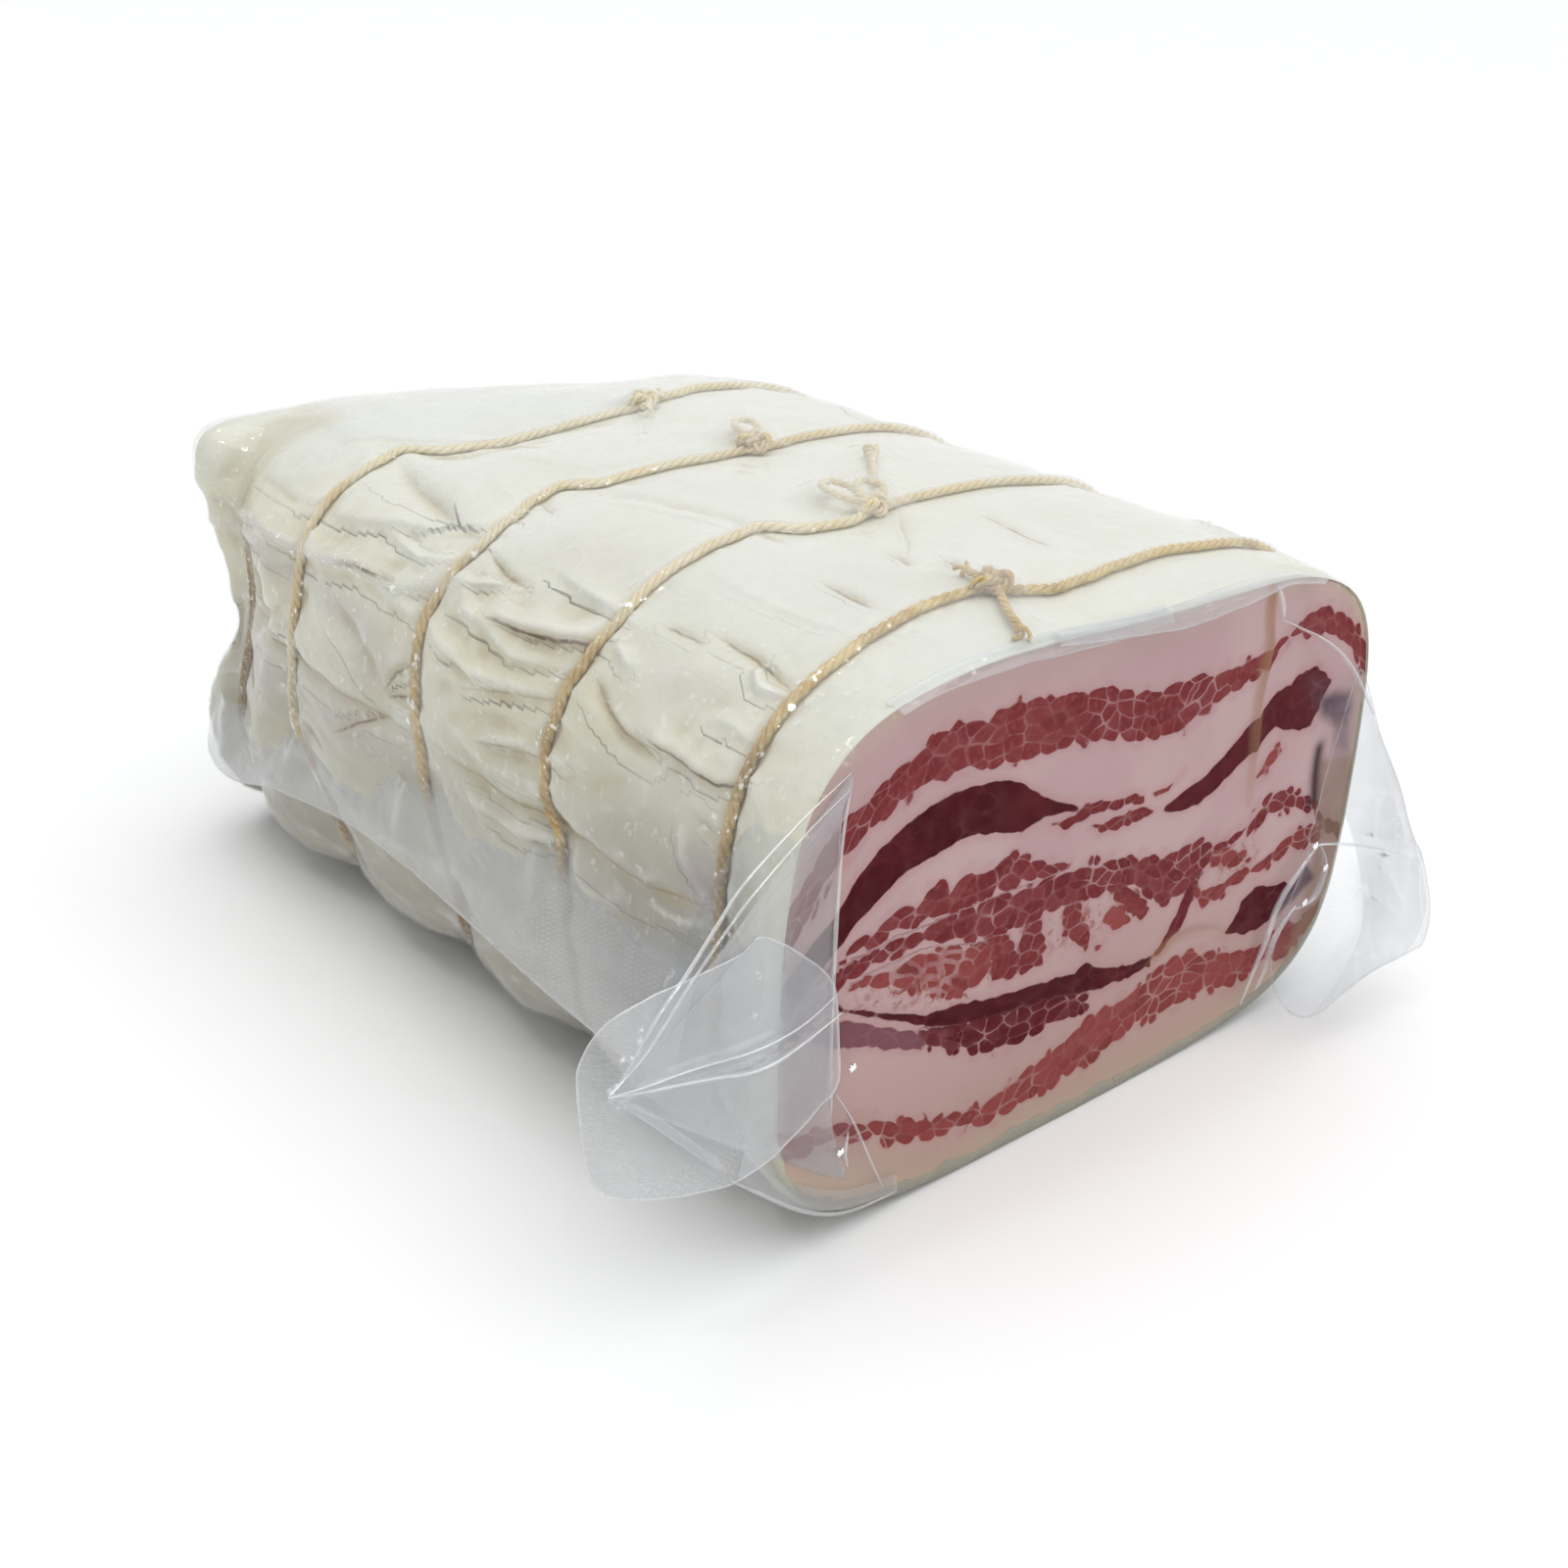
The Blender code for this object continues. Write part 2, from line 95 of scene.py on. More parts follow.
def between(pairs, at):
    """Reads a list of (position, value) pairs, blended smoothly from each to the next."""
    spots, values = np.array(pairs, float).T
    at = np.clip(at, spots[0], spots[-1])
    i = np.clip(np.searchsorted(spots, at) - 1, 0, len(spots) - 2)
    return values[i] + (values[i + 1] - values[i]) * smooth_step(at, spots[i], spots[i + 1])


def grain(points, size, seed=0.0):
    """Smooth noise between about -1 and 1 at points, with features about size across."""
    flat = np.asarray(points, float).reshape(-1, 3) / size + seed
    return np.array([noise.noise(Vector(p)) for p in flat]).reshape(np.shape(points)[:-1])


def unit(vectors):
    return vectors / np.maximum(np.linalg.norm(vectors, axis=-1, keepdims=True), 1e-9)


def curve(points, count, closed=False):
    """count points on a smooth curve through the given ones."""
    p = np.array(points, float)
    n = len(p)
    t = np.linspace(0, n if closed else n - 1, count, endpoint=not closed)
    i = np.minimum(t.astype(int), n - 1 if closed else n - 2)
    t = (t - i)[:, None]
    def pick(k):
        return p[(i + k) % n] if closed else p[np.clip(i + k, 0, n - 1)]
    a, b, c, d = pick(-1), pick(0), pick(1), pick(2)
    bend, twist = 2 * a - 5 * b + 4 * c - d, 3 * b - a - 3 * c + d
    return 0.5 * (2 * b + (c - a) * t + bend * t ** 2 + twist * t ** 3)


def route_distance(a, b, route):
    """Signed distance to a route in a plane, with how far along the nearest place is, from 0 to 1."""
    route = np.array(route, float)
    legs = np.hypot(*np.diff(route, axis=0).T)
    best = np.full(np.shape(a), 1e9)
    side = np.zeros(np.shape(a))
    along = np.zeros(np.shape(a))
    done = 0.0
    for (a0, b0), (a1, b1), leg in zip(route, route[1:], legs):
        ua, ub = (a1 - a0) / leg, (b1 - b0) / leg
        t = np.clip((a - a0) * ua + (b - b0) * ub, 0, leg)
        gap = np.hypot(a - a0 - t * ua, b - b0 - t * ub)
        near = gap < best
        best = np.where(near, gap, best)
        side = np.where(near, np.sign(ua * (b - b0) - ub * (a - a0)), side)
        along = np.where(near, (done + t) / legs.sum(), along)
        done += leg
    return best * side, along


def inside(a, b, outline):
    """Signed distance to a closed outline, positive inside it."""
    outline = np.array(outline, float)
    ring = np.vstack([outline, outline[:1]])
    gap = np.abs(route_distance(a, b, ring)[0])
    odd = np.zeros(np.shape(a), bool)
    for (a0, b0), (a1, b1) in zip(ring, ring[1:]):
        if b0 != b1:
            odd ^= ((b0 > b) != (b1 > b)) & (a < (a1 - a0) * (b - b0) / (b1 - b0) + a0)
    return np.where(odd, gap, -gap)


# The block's surface

def oval_radius(angle):
    c, s = np.cos(np.radians(angle)), np.sin(np.radians(angle))
    n = np.where(s > 0, SQUARE_TOP, SQUARE_LOW)
    return (np.abs(c / HALF_W) ** n + np.abs(s / HALF_H) ** n) ** (-1 / n)


fine_angles = np.linspace(180, -180, 7201)
fine_x = oval_radius(fine_angles) * np.cos(np.radians(fine_angles))
fine_z = oval_radius(fine_angles) * np.sin(np.radians(fine_angles))
fine_run = np.concatenate([[0], np.cumsum(np.hypot(np.diff(fine_x), np.diff(fine_z)))])
ROUND = fine_run[-1]


def angle_at(s):
    """Direction of a place round the section, in degrees from +X towards +Z."""
    return np.interp(np.mod(s, ROUND), fine_run, fine_angles) % 360


# Where each tie runs: (s, y) places, from the underside up the left side, over the top and down
TIE_ROUTES = [
    [(-119, 18.7), (-20, 18.7), (10, 17.4), (40, 16.6), (50, 17.2), (60, 17.9), (70, 19.3), (82, 20.3),
     (96, 19.4), (103, 15.4), (110, 13.8), (120, 15.2), (132, 17.2), (146, 18.3), (160, 17.2), (200, 18.7)],
    [(-119, 68.7), (-60, 66.5), (-28, 62.0), (4, 65.5), (11, 70.8), (20, 71.0), (30, 68.5), (40, 66.0),
     (48, 64.8), (56, 66.2), (66, 67.2), (78, 69.2), (88, 72.2), (96, 66.2), (106, 65.2), (116, 68.2),
     (126, 70.0), (150, 70.0), (164, 68.0), (200, 68.7)],
    [(-119, 118.7), (-60, 112.0), (-28, 106.0), (0, 116.5), (12, 118.5), (26, 118.5), (40, 115.8),
     (50, 115.0), (60, 118.2), (70, 123.4), (77, 125.8), (86, 119.6), (100, 118.2), (112, 117.0),
     (130, 117.0), (142, 118.6), (165, 119.5), (200, 118.7)],
    [(-119, 168.7), (-60, 160.0), (-30, 158.0), (-8, 174.0), (8, 172.6), (22, 169.4), (34, 169.6),
     (50, 170.0), (60, 171.8), (67, 174.6), (76, 168.2), (90, 164.2), (110, 163.0), (126, 162.6),
     (138, 167.0), (152, 170.6), (170, 171.0), (200, 168.7)],
    [(-119, 204.5), (-20, 204.0), (10, 200.5), (20, 201.0), (32, 203.0), (60, 204.5), (200, 204.5)],
]


def stray(v, s):
    """How far the rows of the surface are carried along Y, so that each tie's row follows its route."""
    turn = np.mod(s + 119, ROUND) - 119
    places = np.array([0.0, *TIES, LENGTH])
    offsets = [0 * turn, *(between(route, turn) - y for route, y in zip(TIE_ROUTES, TIES)), 0 * turn]
    i = np.clip(np.searchsorted(places, v) - 1, 0, len(places) - 2)
    share = np.clip((v - places[i]) / (places[i + 1] - places[i]), 0, 1)
    offsets = np.array(offsets)
    low = np.take_along_axis(offsets, i[None], 0)[0]
    high = np.take_along_axis(offsets, i[None] + 1, 0)[0]
    return low + (high - low) * share


def tie_distance(v):
    return np.min([np.abs(v - tie) for tie in TIES], axis=0)


def lobe(v):
    """0 in the groove of a tie and about 1 midway between two."""
    full = END_SWELL * (1 - np.clip(v / (TIES[0] - GROOVE), 0, 1) ** 2)
    full = np.where(v > TIES[-1] + GROOVE, END_SWELL * smooth_step(v, TIES[-1] + GROOVE, TIES[-1] + 9), full)
    for a, b, gain in zip(TIES, TIES[1:], LOBE_GAIN):
        t = np.clip((v - a - GROOVE) / (b - a - 2 * GROOVE), 0, 1)
        full = np.where((v > a) & (v < b), gain * np.sin(np.pi * t) ** LOBE_SHAPE, full)
    return full


def skin(v, s, inset=0.0):
    """Points of the block's surface, as in the part's source, with each tie's row on its route."""
    v, s = np.broadcast_arrays(np.asarray(v, float), np.asarray(s, float))
    angle = angle_at(s)
    turn = np.radians(angle)
    flat_top = 1 - 0.6 * smooth_step(angle, 60, 90) * (1 - smooth_step(angle, 90, 125))
    oval = oval_radius(angle)
    plain = np.stack([oval * np.cos(turn), v, oval * np.sin(turn)], -1)
    dents = DENT_DEPTH * flat_top * grain(plain, DENT_SIZE)
    out = oval + lobe(v) * (between(LOBE_SWELL, angle) + dents) - inset
    near_corner = np.exp(-((angle - BACK_CORNER_AT) / BACK_CORNER_REACH) ** 2)
    out = out + BACK_CORNER * near_corner * smooth_step(v, TIES[-1] + 1, LENGTH)
    x, y, z = out * np.cos(turn), v + stray(v, s), MID_Z + out * np.sin(turn)
    lift = sum(h * np.exp(-((x - cx) / rx) ** 2 - ((y - cy) / ry) ** 2) for cx, cy, h, rx, ry in SAGS)
    z = z + lift * np.maximum(0, (z - MID_Z) / HALF_H) ** 2
    outer = smooth_step(np.abs(x), 45, HALF_W)
    dent = outer * np.exp(-((z - BACK_DENT_Z) / BACK_DENT_REACH) ** 2)
    pinch = outer * np.exp(-((z - BACK_PINCH_Z) / BACK_PINCH_REACH) ** 2)
    x = x - np.copysign(BACK_PINCH * pinch * smooth_step(v, TIES[-2] + 4, TIES[-1]), x)
    y = y - BACK_DENT * dent * smooth_step(v, TIES[-1] + 2, LENGTH)
    return np.stack([x, y, np.maximum(z, 0.0)], -1)


def outward(grid):
    """Outward directions of a grid of points whose columns go round the block."""
    around = np.roll(grid, -1, 1) - np.roll(grid, 1, 1)
    return unit(np.cross(around, np.gradient(grid, axis=0)))


def on_skin(places, lift=0.0):
    """Points at (y, s) places on the block's surface, raised by lift, with their outward directions."""
    v, s = np.array(places, float).T
    step = 0.8
    here = skin(v, s)
    away = unit(np.cross(skin(v, s + step) - skin(v, s - step), skin(v + step, s) - skin(v - step, s)))
    return here + away * np.reshape(lift, (-1, 1)), away


# Folds of the casing: route of (y, s) places, half width, height, how brown the crease is, a brown tint
# deepened with painted shadow at the crease.
# A positive height is a ridge that falls off sharply on its lower side, a negative one is a valley.
FOLDS = [
    ([(67, 44), (76, 41), (86, 39.6), (98, 39)], 3.4, 1.5, 1.0),
    ([(71, 36.5), (84, 34), (97, 37), (112, 37)], 3.0, 1.1, 0.0),
    ([(80, 29.6), (95, 27.6), (108, 29), (117, 32)], 2.6, 1.3, 0.15),
    ([(71, 31), (84, 28), (98, 24)], 2.8, 1.2, 0.45),
    ([(62, 20), (70, 19.5), (85, 17.8)], 1.3, 0.9, 0.0),
    ([(76, 19), (90, 15.6)], 2.2, 0.9, 0.5),
    ([(72, 12), (86, 11), (100, 13.5)], 3.4, 0.8, 0.0),
    ([(118, 40), (130, 34), (143, 35.4), (157, 32.6), (172, 31.8), (188, 33), (203, 31.4), (214, 35)],
     4.2, 1.3, 0.08),
    ([(131, 35.8), (142, 35.2), (151, 33.4)], 1.0, 0.4, 1.0),
    ([(121, 21), (126, 17), (129.4, 12)], 1.2, -0.9, 0.7),
    ([(129.4, 12), (134, 17), (141, 21.5), (151, 26)], 2.6, -1.0, 0.12),
    ([(121, 13.4), (127.6, 11.6)], 0.8, -0.5, 0.8),
    ([(128, 7), (138, 2.2), (146, -3)], 0.8, -0.5, 0.9),
    ([(127, 6.4), (146, 6.2), (170, 7.4), (186, 8), (199, 9.6)], 1.8, -0.9, 0.55),
    ([(20, 9), (38, 6.2), (60, 6.8), (86, 6), (109, 7.6)], 2.4, -0.9, 0.4),
    ([(17.5, 34), (24, 31.9), (34, 32.8), (44, 33)], 2.0, 0.9, 1.0),
    ([(40, 30.2), (50, 31), (57, 34), (63, 37.6)], 1.6, -1.1, 0.5),
    ([(19, 51), (27, 53), (33, 54.4), (45, 55)], 1.2, -0.5, 0.6),
    ([(46, 52.2), (57, 51.8)], 0.9, -0.3, 0.6),
    ([(20, 50), (26, 48.8), (30, 51.6), (27.4, 56)], 1.1, 0.8, 0.0),
    ([(95, 46.6), (104, 47), (113, 49.4)], 0.9, -0.6, 0.6),
    ([(66, 49), (78, 50.2), (92, 52.5)], 3.0, 0.8, 0.0),
    ([(100, 45), (108, 42.5), (114, 42)], 1.6, 0.8, 0.1),
    ([(119, 51), (130, 53), (150, 58), (166, 64)], 6.0, -1.3, 0.0),
    ([(119, 58), (134, 49), (150, 44), (168, 42.5)], 5.0, 0.9, 0.0),
    ([(121, 45), (128, 42), (140, 44)], 1.6, 0.7, 0.0),
    ([(174, 41), (188, 41), (197, 41.6)], 1.8, -0.4, 0.0),
    ([(174, 27), (188, 27.4), (206, 27), (212, 25)], 2.2, 1.0, 0.05),
    ([(174, 18), (182, 13), (197, 10.4)], 3.0, -1.0, 0.1),
    ([(120, 31), (130, 33)], 2.4, 1.0, 0.0),
    ([(17, 9), (23, 12), (27.6, 17), (28.6, 22.6)], 1.1, 1.0, 0.0),
    ([(20, 23), (27, 24.5)], 1.0, -0.5, 0.1),
    ([(20, 40), (26, 41.4), (31, 40.8)], 1.4, 0.5, 0.0),
    ([(56, 42), (65, 45)], 1.6, 0.7, 0.0),
    ([(66, 3), (80, 1), (98, 1.5)], 3.0, 0.9, 0.2),
    ([(49.3, 100.5), (45.4, 100.6), (39.8, 98)], 0.7, -0.5, 0.5),
    ([(42.4, 107), (38.2, 105.8), (33.6, 103.6)], 0.7, -0.5, 0.5),
    ([(52.7, 133.2), (46.6, 132), (40.6, 130.8), (32.4, 130.1)], 0.7, -0.3, 0.6),
    ([(40.4, 79.8), (34, 79.3), (26.1, 78)], 0.8, -0.5, 0.6),
    ([(63.6, 118.8), (55.6, 110.3), (47.5, 103)], 0.6, -0.2, 0.2),
    ([(110, 68.2), (117, 70.2)], 0.7, -0.4, 0.5),
    ([(20, 69), (34, 67.5), (60, 67)], 1.0, 0.3, 0.0),
    ([(60, 88), (78, 88.6), (96, 86), (115, 83)], 2.0, -0.5, 0.0),
]
# How many folds the hidden sides get, and the least width of a fold's steep side
HIDDEN_FOLDS = 46
SHARPEST = 1.0
# The s place of the rear left corner, which the film pulls out
PULLED_CORNER = 44.0

# Soft purple-grey places where lean shows through the casing: (y, s, reach along y, reach along s, strength)
SHADES = [
    (23.5, 13, 5, 5, 0.9), (134, 18, 9, 6, 0.45), (150, 25, 22, 4.5, 0.4), (190, 26, 22, 4, 0.65),
    (203, -3, 9, 9, 0.5), (30, 31, 6, 3, 0.25), (46, 43, 10, 5, 0.15), (62, 2, 18, 5, 0.2),
    (140, -1, 20, 4, 0.3), (185, -2, 14, 6, 0.35), (84, 60, 20, 8, 0.12), (30, 90, 20, 14, 0.08),
]


def hidden_folds():
    """Folds like those that show, for the sides that the photograph doesn't show."""
    draw = np.random.RandomState(7)
    folds = []
    for _ in range(HIDDEN_FOLDS):
        tie = TIES[draw.randint(len(TIES))]
        s = draw.uniform(178, ROUND - 24)
        way = draw.choice([-1, 1])
        length = draw.uniform(12, 40)
        bend = draw.uniform(-6, 6, 3)
        route = [(np.clip(tie + way * (1 + length * t), 2, LENGTH - 4), s + bend[0] * t + k * bend[1] * 0.4)
                 for k, t in zip((0, 1, -1, 0), (0, 0.35, 0.7, 1))]
        folds.append((route, draw.uniform(1.0, 3.4), draw.choice([-1.0, 1.0]) * draw.uniform(0.5, 1.4),
                      max(0.0, draw.uniform(-0.5, 0.8))))
    return folds


def fold_relief(v, s):
    """Height of all folds at places of the surface, and what the material needs to draw them sharply:
    how far each place is from its nearest fold, in fold widths, and from its nearest brown crease line,
    which is a brown tint with painted crease shadow."""
    height = np.zeros(np.shape(v))
    draw = {"fold": np.full(np.shape(v), 3.0), "fold_high": np.zeros(np.shape(v)),
            "line": np.full(np.shape(v), 9.0), "crease_brown_and_shadow": np.zeros(np.shape(v))}
    for route, wide, high, stain_and_shade in FOLDS + hidden_folds():
        route = np.array(route, float)
        low, top = route.min(0) - 4 * wide, route.max(0) + 4 * wide
        near = (v > low[0]) & (v < top[0]) & (s > low[1]) & (s < top[1])
        if not near.any():
            continue
        way = 1 if route[-1, 0] >= route[0, 0] else -1
        gap, along = route_distance(v[near], s[near], route)
        gap = gap * way
        taper = np.sin(np.pi * np.clip(0.08 + 0.9 * along, 0, 1)) ** 0.7
        sharp = max(0.4 * wide, SHARPEST)
        steep = np.where(gap > 0, wide, sharp) if high > 0 else np.where(gap > 0, sharp, wide)
        rise = 1.6 * high * taper * np.exp(-np.abs(gap / steep) ** 1.5)
        height[near] += rise
        fold = np.clip(gap / steep, -3, 3)
        closer = np.abs(fold) < np.abs(draw["fold"][near])
        draw["fold"][near] = np.where(closer, fold, draw["fold"][near])
        draw["fold_high"][near] = np.where(closer, high * taper, draw["fold_high"][near])
        if stain_and_shade > 0:
            line = gap + (0.3 * wide if high > 0 else 0.0)
            closer = np.abs(line) < np.abs(draw["line"][near])
            draw["line"][near] = np.where(closer, line, draw["line"][near])
            draw["crease_brown_and_shadow"][near] = np.where(closer, stain_and_shade * taper, draw["crease_brown_and_shadow"][near])
    return height, draw


def round_noise(s, size, seed):
    """Noise along s that joins up round the section."""
    reach = ROUND / (2 * np.pi)
    turn = 2 * np.pi * s / ROUND
    return grain(np.stack([reach * np.cos(turn), reach * np.sin(turn), 0 * s + seed * 31.7], -1), size)


def soften(values, reach):
    """Values of a grid, averaged over a few rows and columns each way; the columns run round the block."""
    weights = np.hanning(2 * reach + 3)[1:-1]
    weights /= weights.sum()
    rows = np.pad(values, ((reach, reach), (0, 0)), "edge")
    values = sum(weight * rows[k: k + len(values)] for k, weight in enumerate(weights))
    return sum(weight * np.roll(values, k - reach, 1) for k, weight in enumerate(weights))


def buried(s):
    """Where round the block the last tie lies sunk under cloudy film, as the photograph doesn't show it."""
    return smooth_step(s, 32, 48) * (1 - smooth_step(s, 168, 190))


def gathers(v, s):
    """Small creases that gather at each tie and run out from it."""
    height = np.zeros(np.shape(v))
    s_row = s[0]
    angle = angle_at(s_row)
    calm = 1 - 0.75 * smooth_step(angle, 30, 60) * (1 - smooth_step(angle, 105, 135))
    for k, tie in enumerate(TIES):
        for way in (-1, 1):
            seed = 2.3 * k + way
            fine = 1 - 2.2 * np.abs(round_noise(s_row, 4.2, seed))
            coarse = 1 - 2.0 * np.abs(round_noise(s_row, 13.0, seed + 5))
            reach_fine = 2.2 + 4 * np.abs(round_noise(s_row, 9.0, seed + 9))
            reach_coarse = 7 + 12 * np.abs(round_noise(s_row, 21.0, seed + 13))
            gap = np.maximum((v - tie) * way, 0)
            on = (v - tie) * way >= 0
            height += on * calm * 0.65 * fine * np.exp(-gap / reach_fine) * smooth_step(gap, 0, 1.6)
            height += on * calm * 1.15 * coarse * np.exp(-gap / reach_coarse) * smooth_step(gap, 0, 3)
    return height


def relief(v, s, points):
    """Height of the casing over the plain block, and the places of its folds."""
    folds, draw = fold_relief(v, s)
    top = smooth_step(points[..., 2], 95, 108)
    bend = points + 5 * grain(points, 26, 1.7)[..., None]
    crumple = 1.0 * (0.5 - np.abs(grain(bend * [0.7, 0.7, 1.3], 12.0, 3.1)) * 2)
    small = 0.32 * (0.5 - np.abs(grain(bend * [0.8, 0.8, 1.2], 5.2, 8.3)) * 2)
    crumple += small + 0.4 * grain(points, 20, 6.1)
    height = folds + gathers(v, s) + crumple * (1 - 0.8 * top)
    height = height * smooth_step(v, 0.0, 4.0)
    near_tie = tie_distance(v)
    height = height * (0.25 + 0.75 * smooth_step(near_tie, 0.8, 3.0))
    height += 1.5 * buried(s) * np.exp(-((v - TIES[-1]) / 4.5) ** 2)
    height += 1.3 * np.exp(-np.abs((s - PULLED_CORNER) / 8.0) ** 1.5) * smooth_step(v, 204, 220)
    return height, draw


def round_places(count, spare):
    """Places round the section, in step with each other: close together where the photograph looks."""
    seen = np.linspace(-66, 172, count - spare, endpoint=False)
    return np.concatenate([seen, np.linspace(172, ROUND - 66, spare, endpoint=False)])


# Mesh building

def place(points):
    return (np.asarray(points, float) + SHIFT) * MM


def make_piece(name, points, faces, mat, values=None, smooth=True):
    """A piece of the object from working points, riding on the pack, with named values at its points."""
    mesh = bpy.data.meshes.new(name)
    mesh.from_pydata(place(points).tolist(), [], [tuple(f) for f in faces])
    mesh.validate()
    for key, value in (values or {}).items():
        value = np.asarray(value, np.float32)
        kind = "FLOAT_VECTOR" if value.ndim == 2 else "FLOAT"
        data = mesh.attributes.new(key, kind, "POINT").data
        data.foreach_set("vector" if value.ndim == 2 else "value", value.ravel())
    if smooth:
        mesh.shade_smooth()
    mesh.materials.append(mat)
    obj = bpy.data.objects.new(name, mesh)
    bpy.context.scene.collection.objects.link(obj)
    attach(obj, "root")
    return obj


def grid_faces(rows, columns, closed, start=0, flip=False):
    """Four-sided faces of a grid whose points are numbered row by row."""
    j = np.arange(columns if closed else columns - 1)
    k = (j + 1) % columns
    faces = []
    for i in range(rows - 1):
        a, b = start + i * columns, start + (i + 1) * columns
        faces.append(np.stack([a + j, a + k, b + k, b + j], 1))
    faces = np.vstack(faces)
    return (faces[:, ::-1] if flip else faces).tolist()


def closed_loft(grid, ends):
    """Points and faces of a tube of rings, shut at each end by a middle point."""
    rows, columns = grid.shape[:2]
    points = np.vstack([grid.reshape(-1, 3), np.array(ends, float)])
    faces = grid_faces(rows, columns, True)
    first, last = rows * columns, rows * columns + 1
    for j in range(columns):
        k = (j + 1) % columns
        faces.append((first, k, j))
        faces.append((last, (rows - 1) * columns + j, (rows - 1) * columns + k))
    return points, faces


def thin_sheet(grid, thick, closed):
    """Points and faces of a sheet of film with two sides and closed edges, from a grid of points."""
    rows, columns = grid.shape[:2]
    if closed:
        across = np.roll(grid, -1, 1) - np.roll(grid, 1, 1)
    else:
        across = np.gradient(grid, axis=1)
    away = unit(np.cross(across, np.gradient(grid, axis=0))) * thick / 2
    count = rows * columns
    points = np.vstack([(grid + away).reshape(-1, 3), (grid - away).reshape(-1, 3)])
    faces = grid_faces(rows, columns, closed)
    faces += grid_faces(rows, columns, closed, count, True)
    last = (rows - 1) * columns
    for j in range(columns if closed else columns - 1):
        k = (j + 1) % columns
        faces.append((k, j, count + j, count + k))
        faces.append((last + j, last + k, count + last + k, count + last + j))
    if not closed:
        for i in range(rows - 1):
            a, b = i * columns, (i + 1) * columns
            faces.append((a, b, count + b, count + a))
            a, b = a + columns - 1, b + columns - 1
            faces.append((b, a, count + a, count + b))
    return points, faces


def ridge_strip(route, away, wide, high, count=60, last=0.98):
    """Points and faces of a pinched fold of film along a route, tapered to its ends.

    A last below 1 leaves the far end of the fold open, where it meets another piece.
    """
    spine = curve(route, count)
    away = unit(curve(away, count)) if np.ndim(away) > 1 else np.tile(unit(np.array(away, float)), (count, 1))
    side = unit(np.cross(np.gradient(spine, axis=0), away))
    taper = (np.sin(np.pi * np.linspace(0.02, last, count)) ** 0.5)[:, None]
    section = [(-0.5, 0.0), (-0.2, 0.55), (0.0, 1.0), (0.2, 0.55), (0.5, 0.0), (0.0, -0.15)]
    rings = [spine + side * a * wide * taper + away * b * high * taper for a, b in section]
    grid = np.stack(rings, 1)[:, ::-1]
    return closed_loft(grid, [spine[0], spine[-1]])


def join_meshes(parts):
    """One set of points and faces from several."""
    points, faces, count = [], [], 0
    for more, new in parts:
        points.append(more)
        faces += [tuple(i + count for i in face) for face in new]
        count += len(more)
    return np.vstack(points), faces


# Materials

class Nodes:
    """Short ways to add shader nodes to a material."""

    def __init__(self, name):
        self.mat = bpy.data.materials.new(name)
        self.mat.use_nodes = True
        self.tree = self.mat.node_tree
        self.tree.nodes.clear()
        self.output = self.add("ShaderNodeOutputMaterial")

    def add(self, kind, settings=None, **inputs):
        node = self.tree.nodes.new(kind)
        for key, value in (settings or {}).items():
            setattr(node, key, value)
        for key, value in inputs.items():
            self.put(node, key.replace("_", " "), value)
        return node

    def put(self, node, key, value):
        socket = node.inputs[int(key)] if key.isdigit() else node.inputs[key]
        if isinstance(value, bpy.types.NodeSocket):
            self.tree.links.new(value, socket)
        else:
            socket.default_value = value

    def math(self, operation, a, b=0.0, c=0.0):
        node = self.add("ShaderNodeMath", {"operation": operation})
        for i, value in enumerate((a, b, c)):
            self.put(node, str(i), value)
        return node.outputs[0]

    def times(self, a, b):
        return self.math("MULTIPLY", a, b)

    def plus(self, a, b):
        return self.math("ADD", a, b)

    def minus(self, a, b):
        return self.math("SUBTRACT", a, b)

    def map(self, value, low, high, to_low=0.0, to_high=1.0):
        node = self.add("ShaderNodeMapRange", {"interpolation_type": "SMOOTHSTEP"}, Value=value)
        for key, number in (("From Min", low), ("From Max", high), ("To Min", to_low), ("To Max", to_high)):
            self.put(node, key, number)
        return node.outputs[0]

    def mix(self, factor, a, b, blend="MIX"):
        node = self.add("ShaderNodeMix", {"data_type": "RGBA", "blend_type": blend})
        self.put(node, "0", factor)
        self.put(node, "6", a)
        self.put(node, "7", b)
        return node.outputs[2]

    def value(self, name):
        return self.add("ShaderNodeAttribute", {"attribute_name": name}).outputs["Fac"]

    def vector(self, name):
        return self.add("ShaderNodeAttribute", {"attribute_name": name}).outputs["Vector"]

    def scaled(self, vector, factors):
        node = self.add("ShaderNodeVectorMath", {"operation": "MULTIPLY"})
        self.put(node, "0", vector)
        self.put(node, "1", factors)
        return node.outputs[0]

    def shifted(self, vector, other):
        node = self.add("ShaderNodeVectorMath", {"operation": "ADD"})
        self.put(node, "0", vector)
        self.put(node, "1", other)
        return node.outputs[0]

    def noise(self, vector, scale, detail=3.0, roughness=0.5, colour=False):
        node = self.add("ShaderNodeTexNoise", None, Vector=vector, Scale=scale, Detail=detail,
                        Roughness=roughness)
        return node.outputs["Color" if colour else "Fac"]

    def object_place(self):
        return self.add("ShaderNodeTexCoord").outputs["Object"]

    def bump(self, height, distance, strength=1.0, normal=None):
        node = self.add("ShaderNodeBump", None, Height=height, Strength=strength, Distance=distance)
        if normal:
            self.put(node, "Normal", normal)
        return node.outputs["Normal"]

    def blend(self, factor, a, b):
        node = self.add("ShaderNodeMixShader")
        self.put(node, "0", factor)
        self.put(node, "1", a.outputs[0])
        self.put(node, "2", b.outputs[0])
        return node

    def finish(self, shader):
        self.tree.links.new(shader, self.output.inputs["Surface"])
        return self.mat


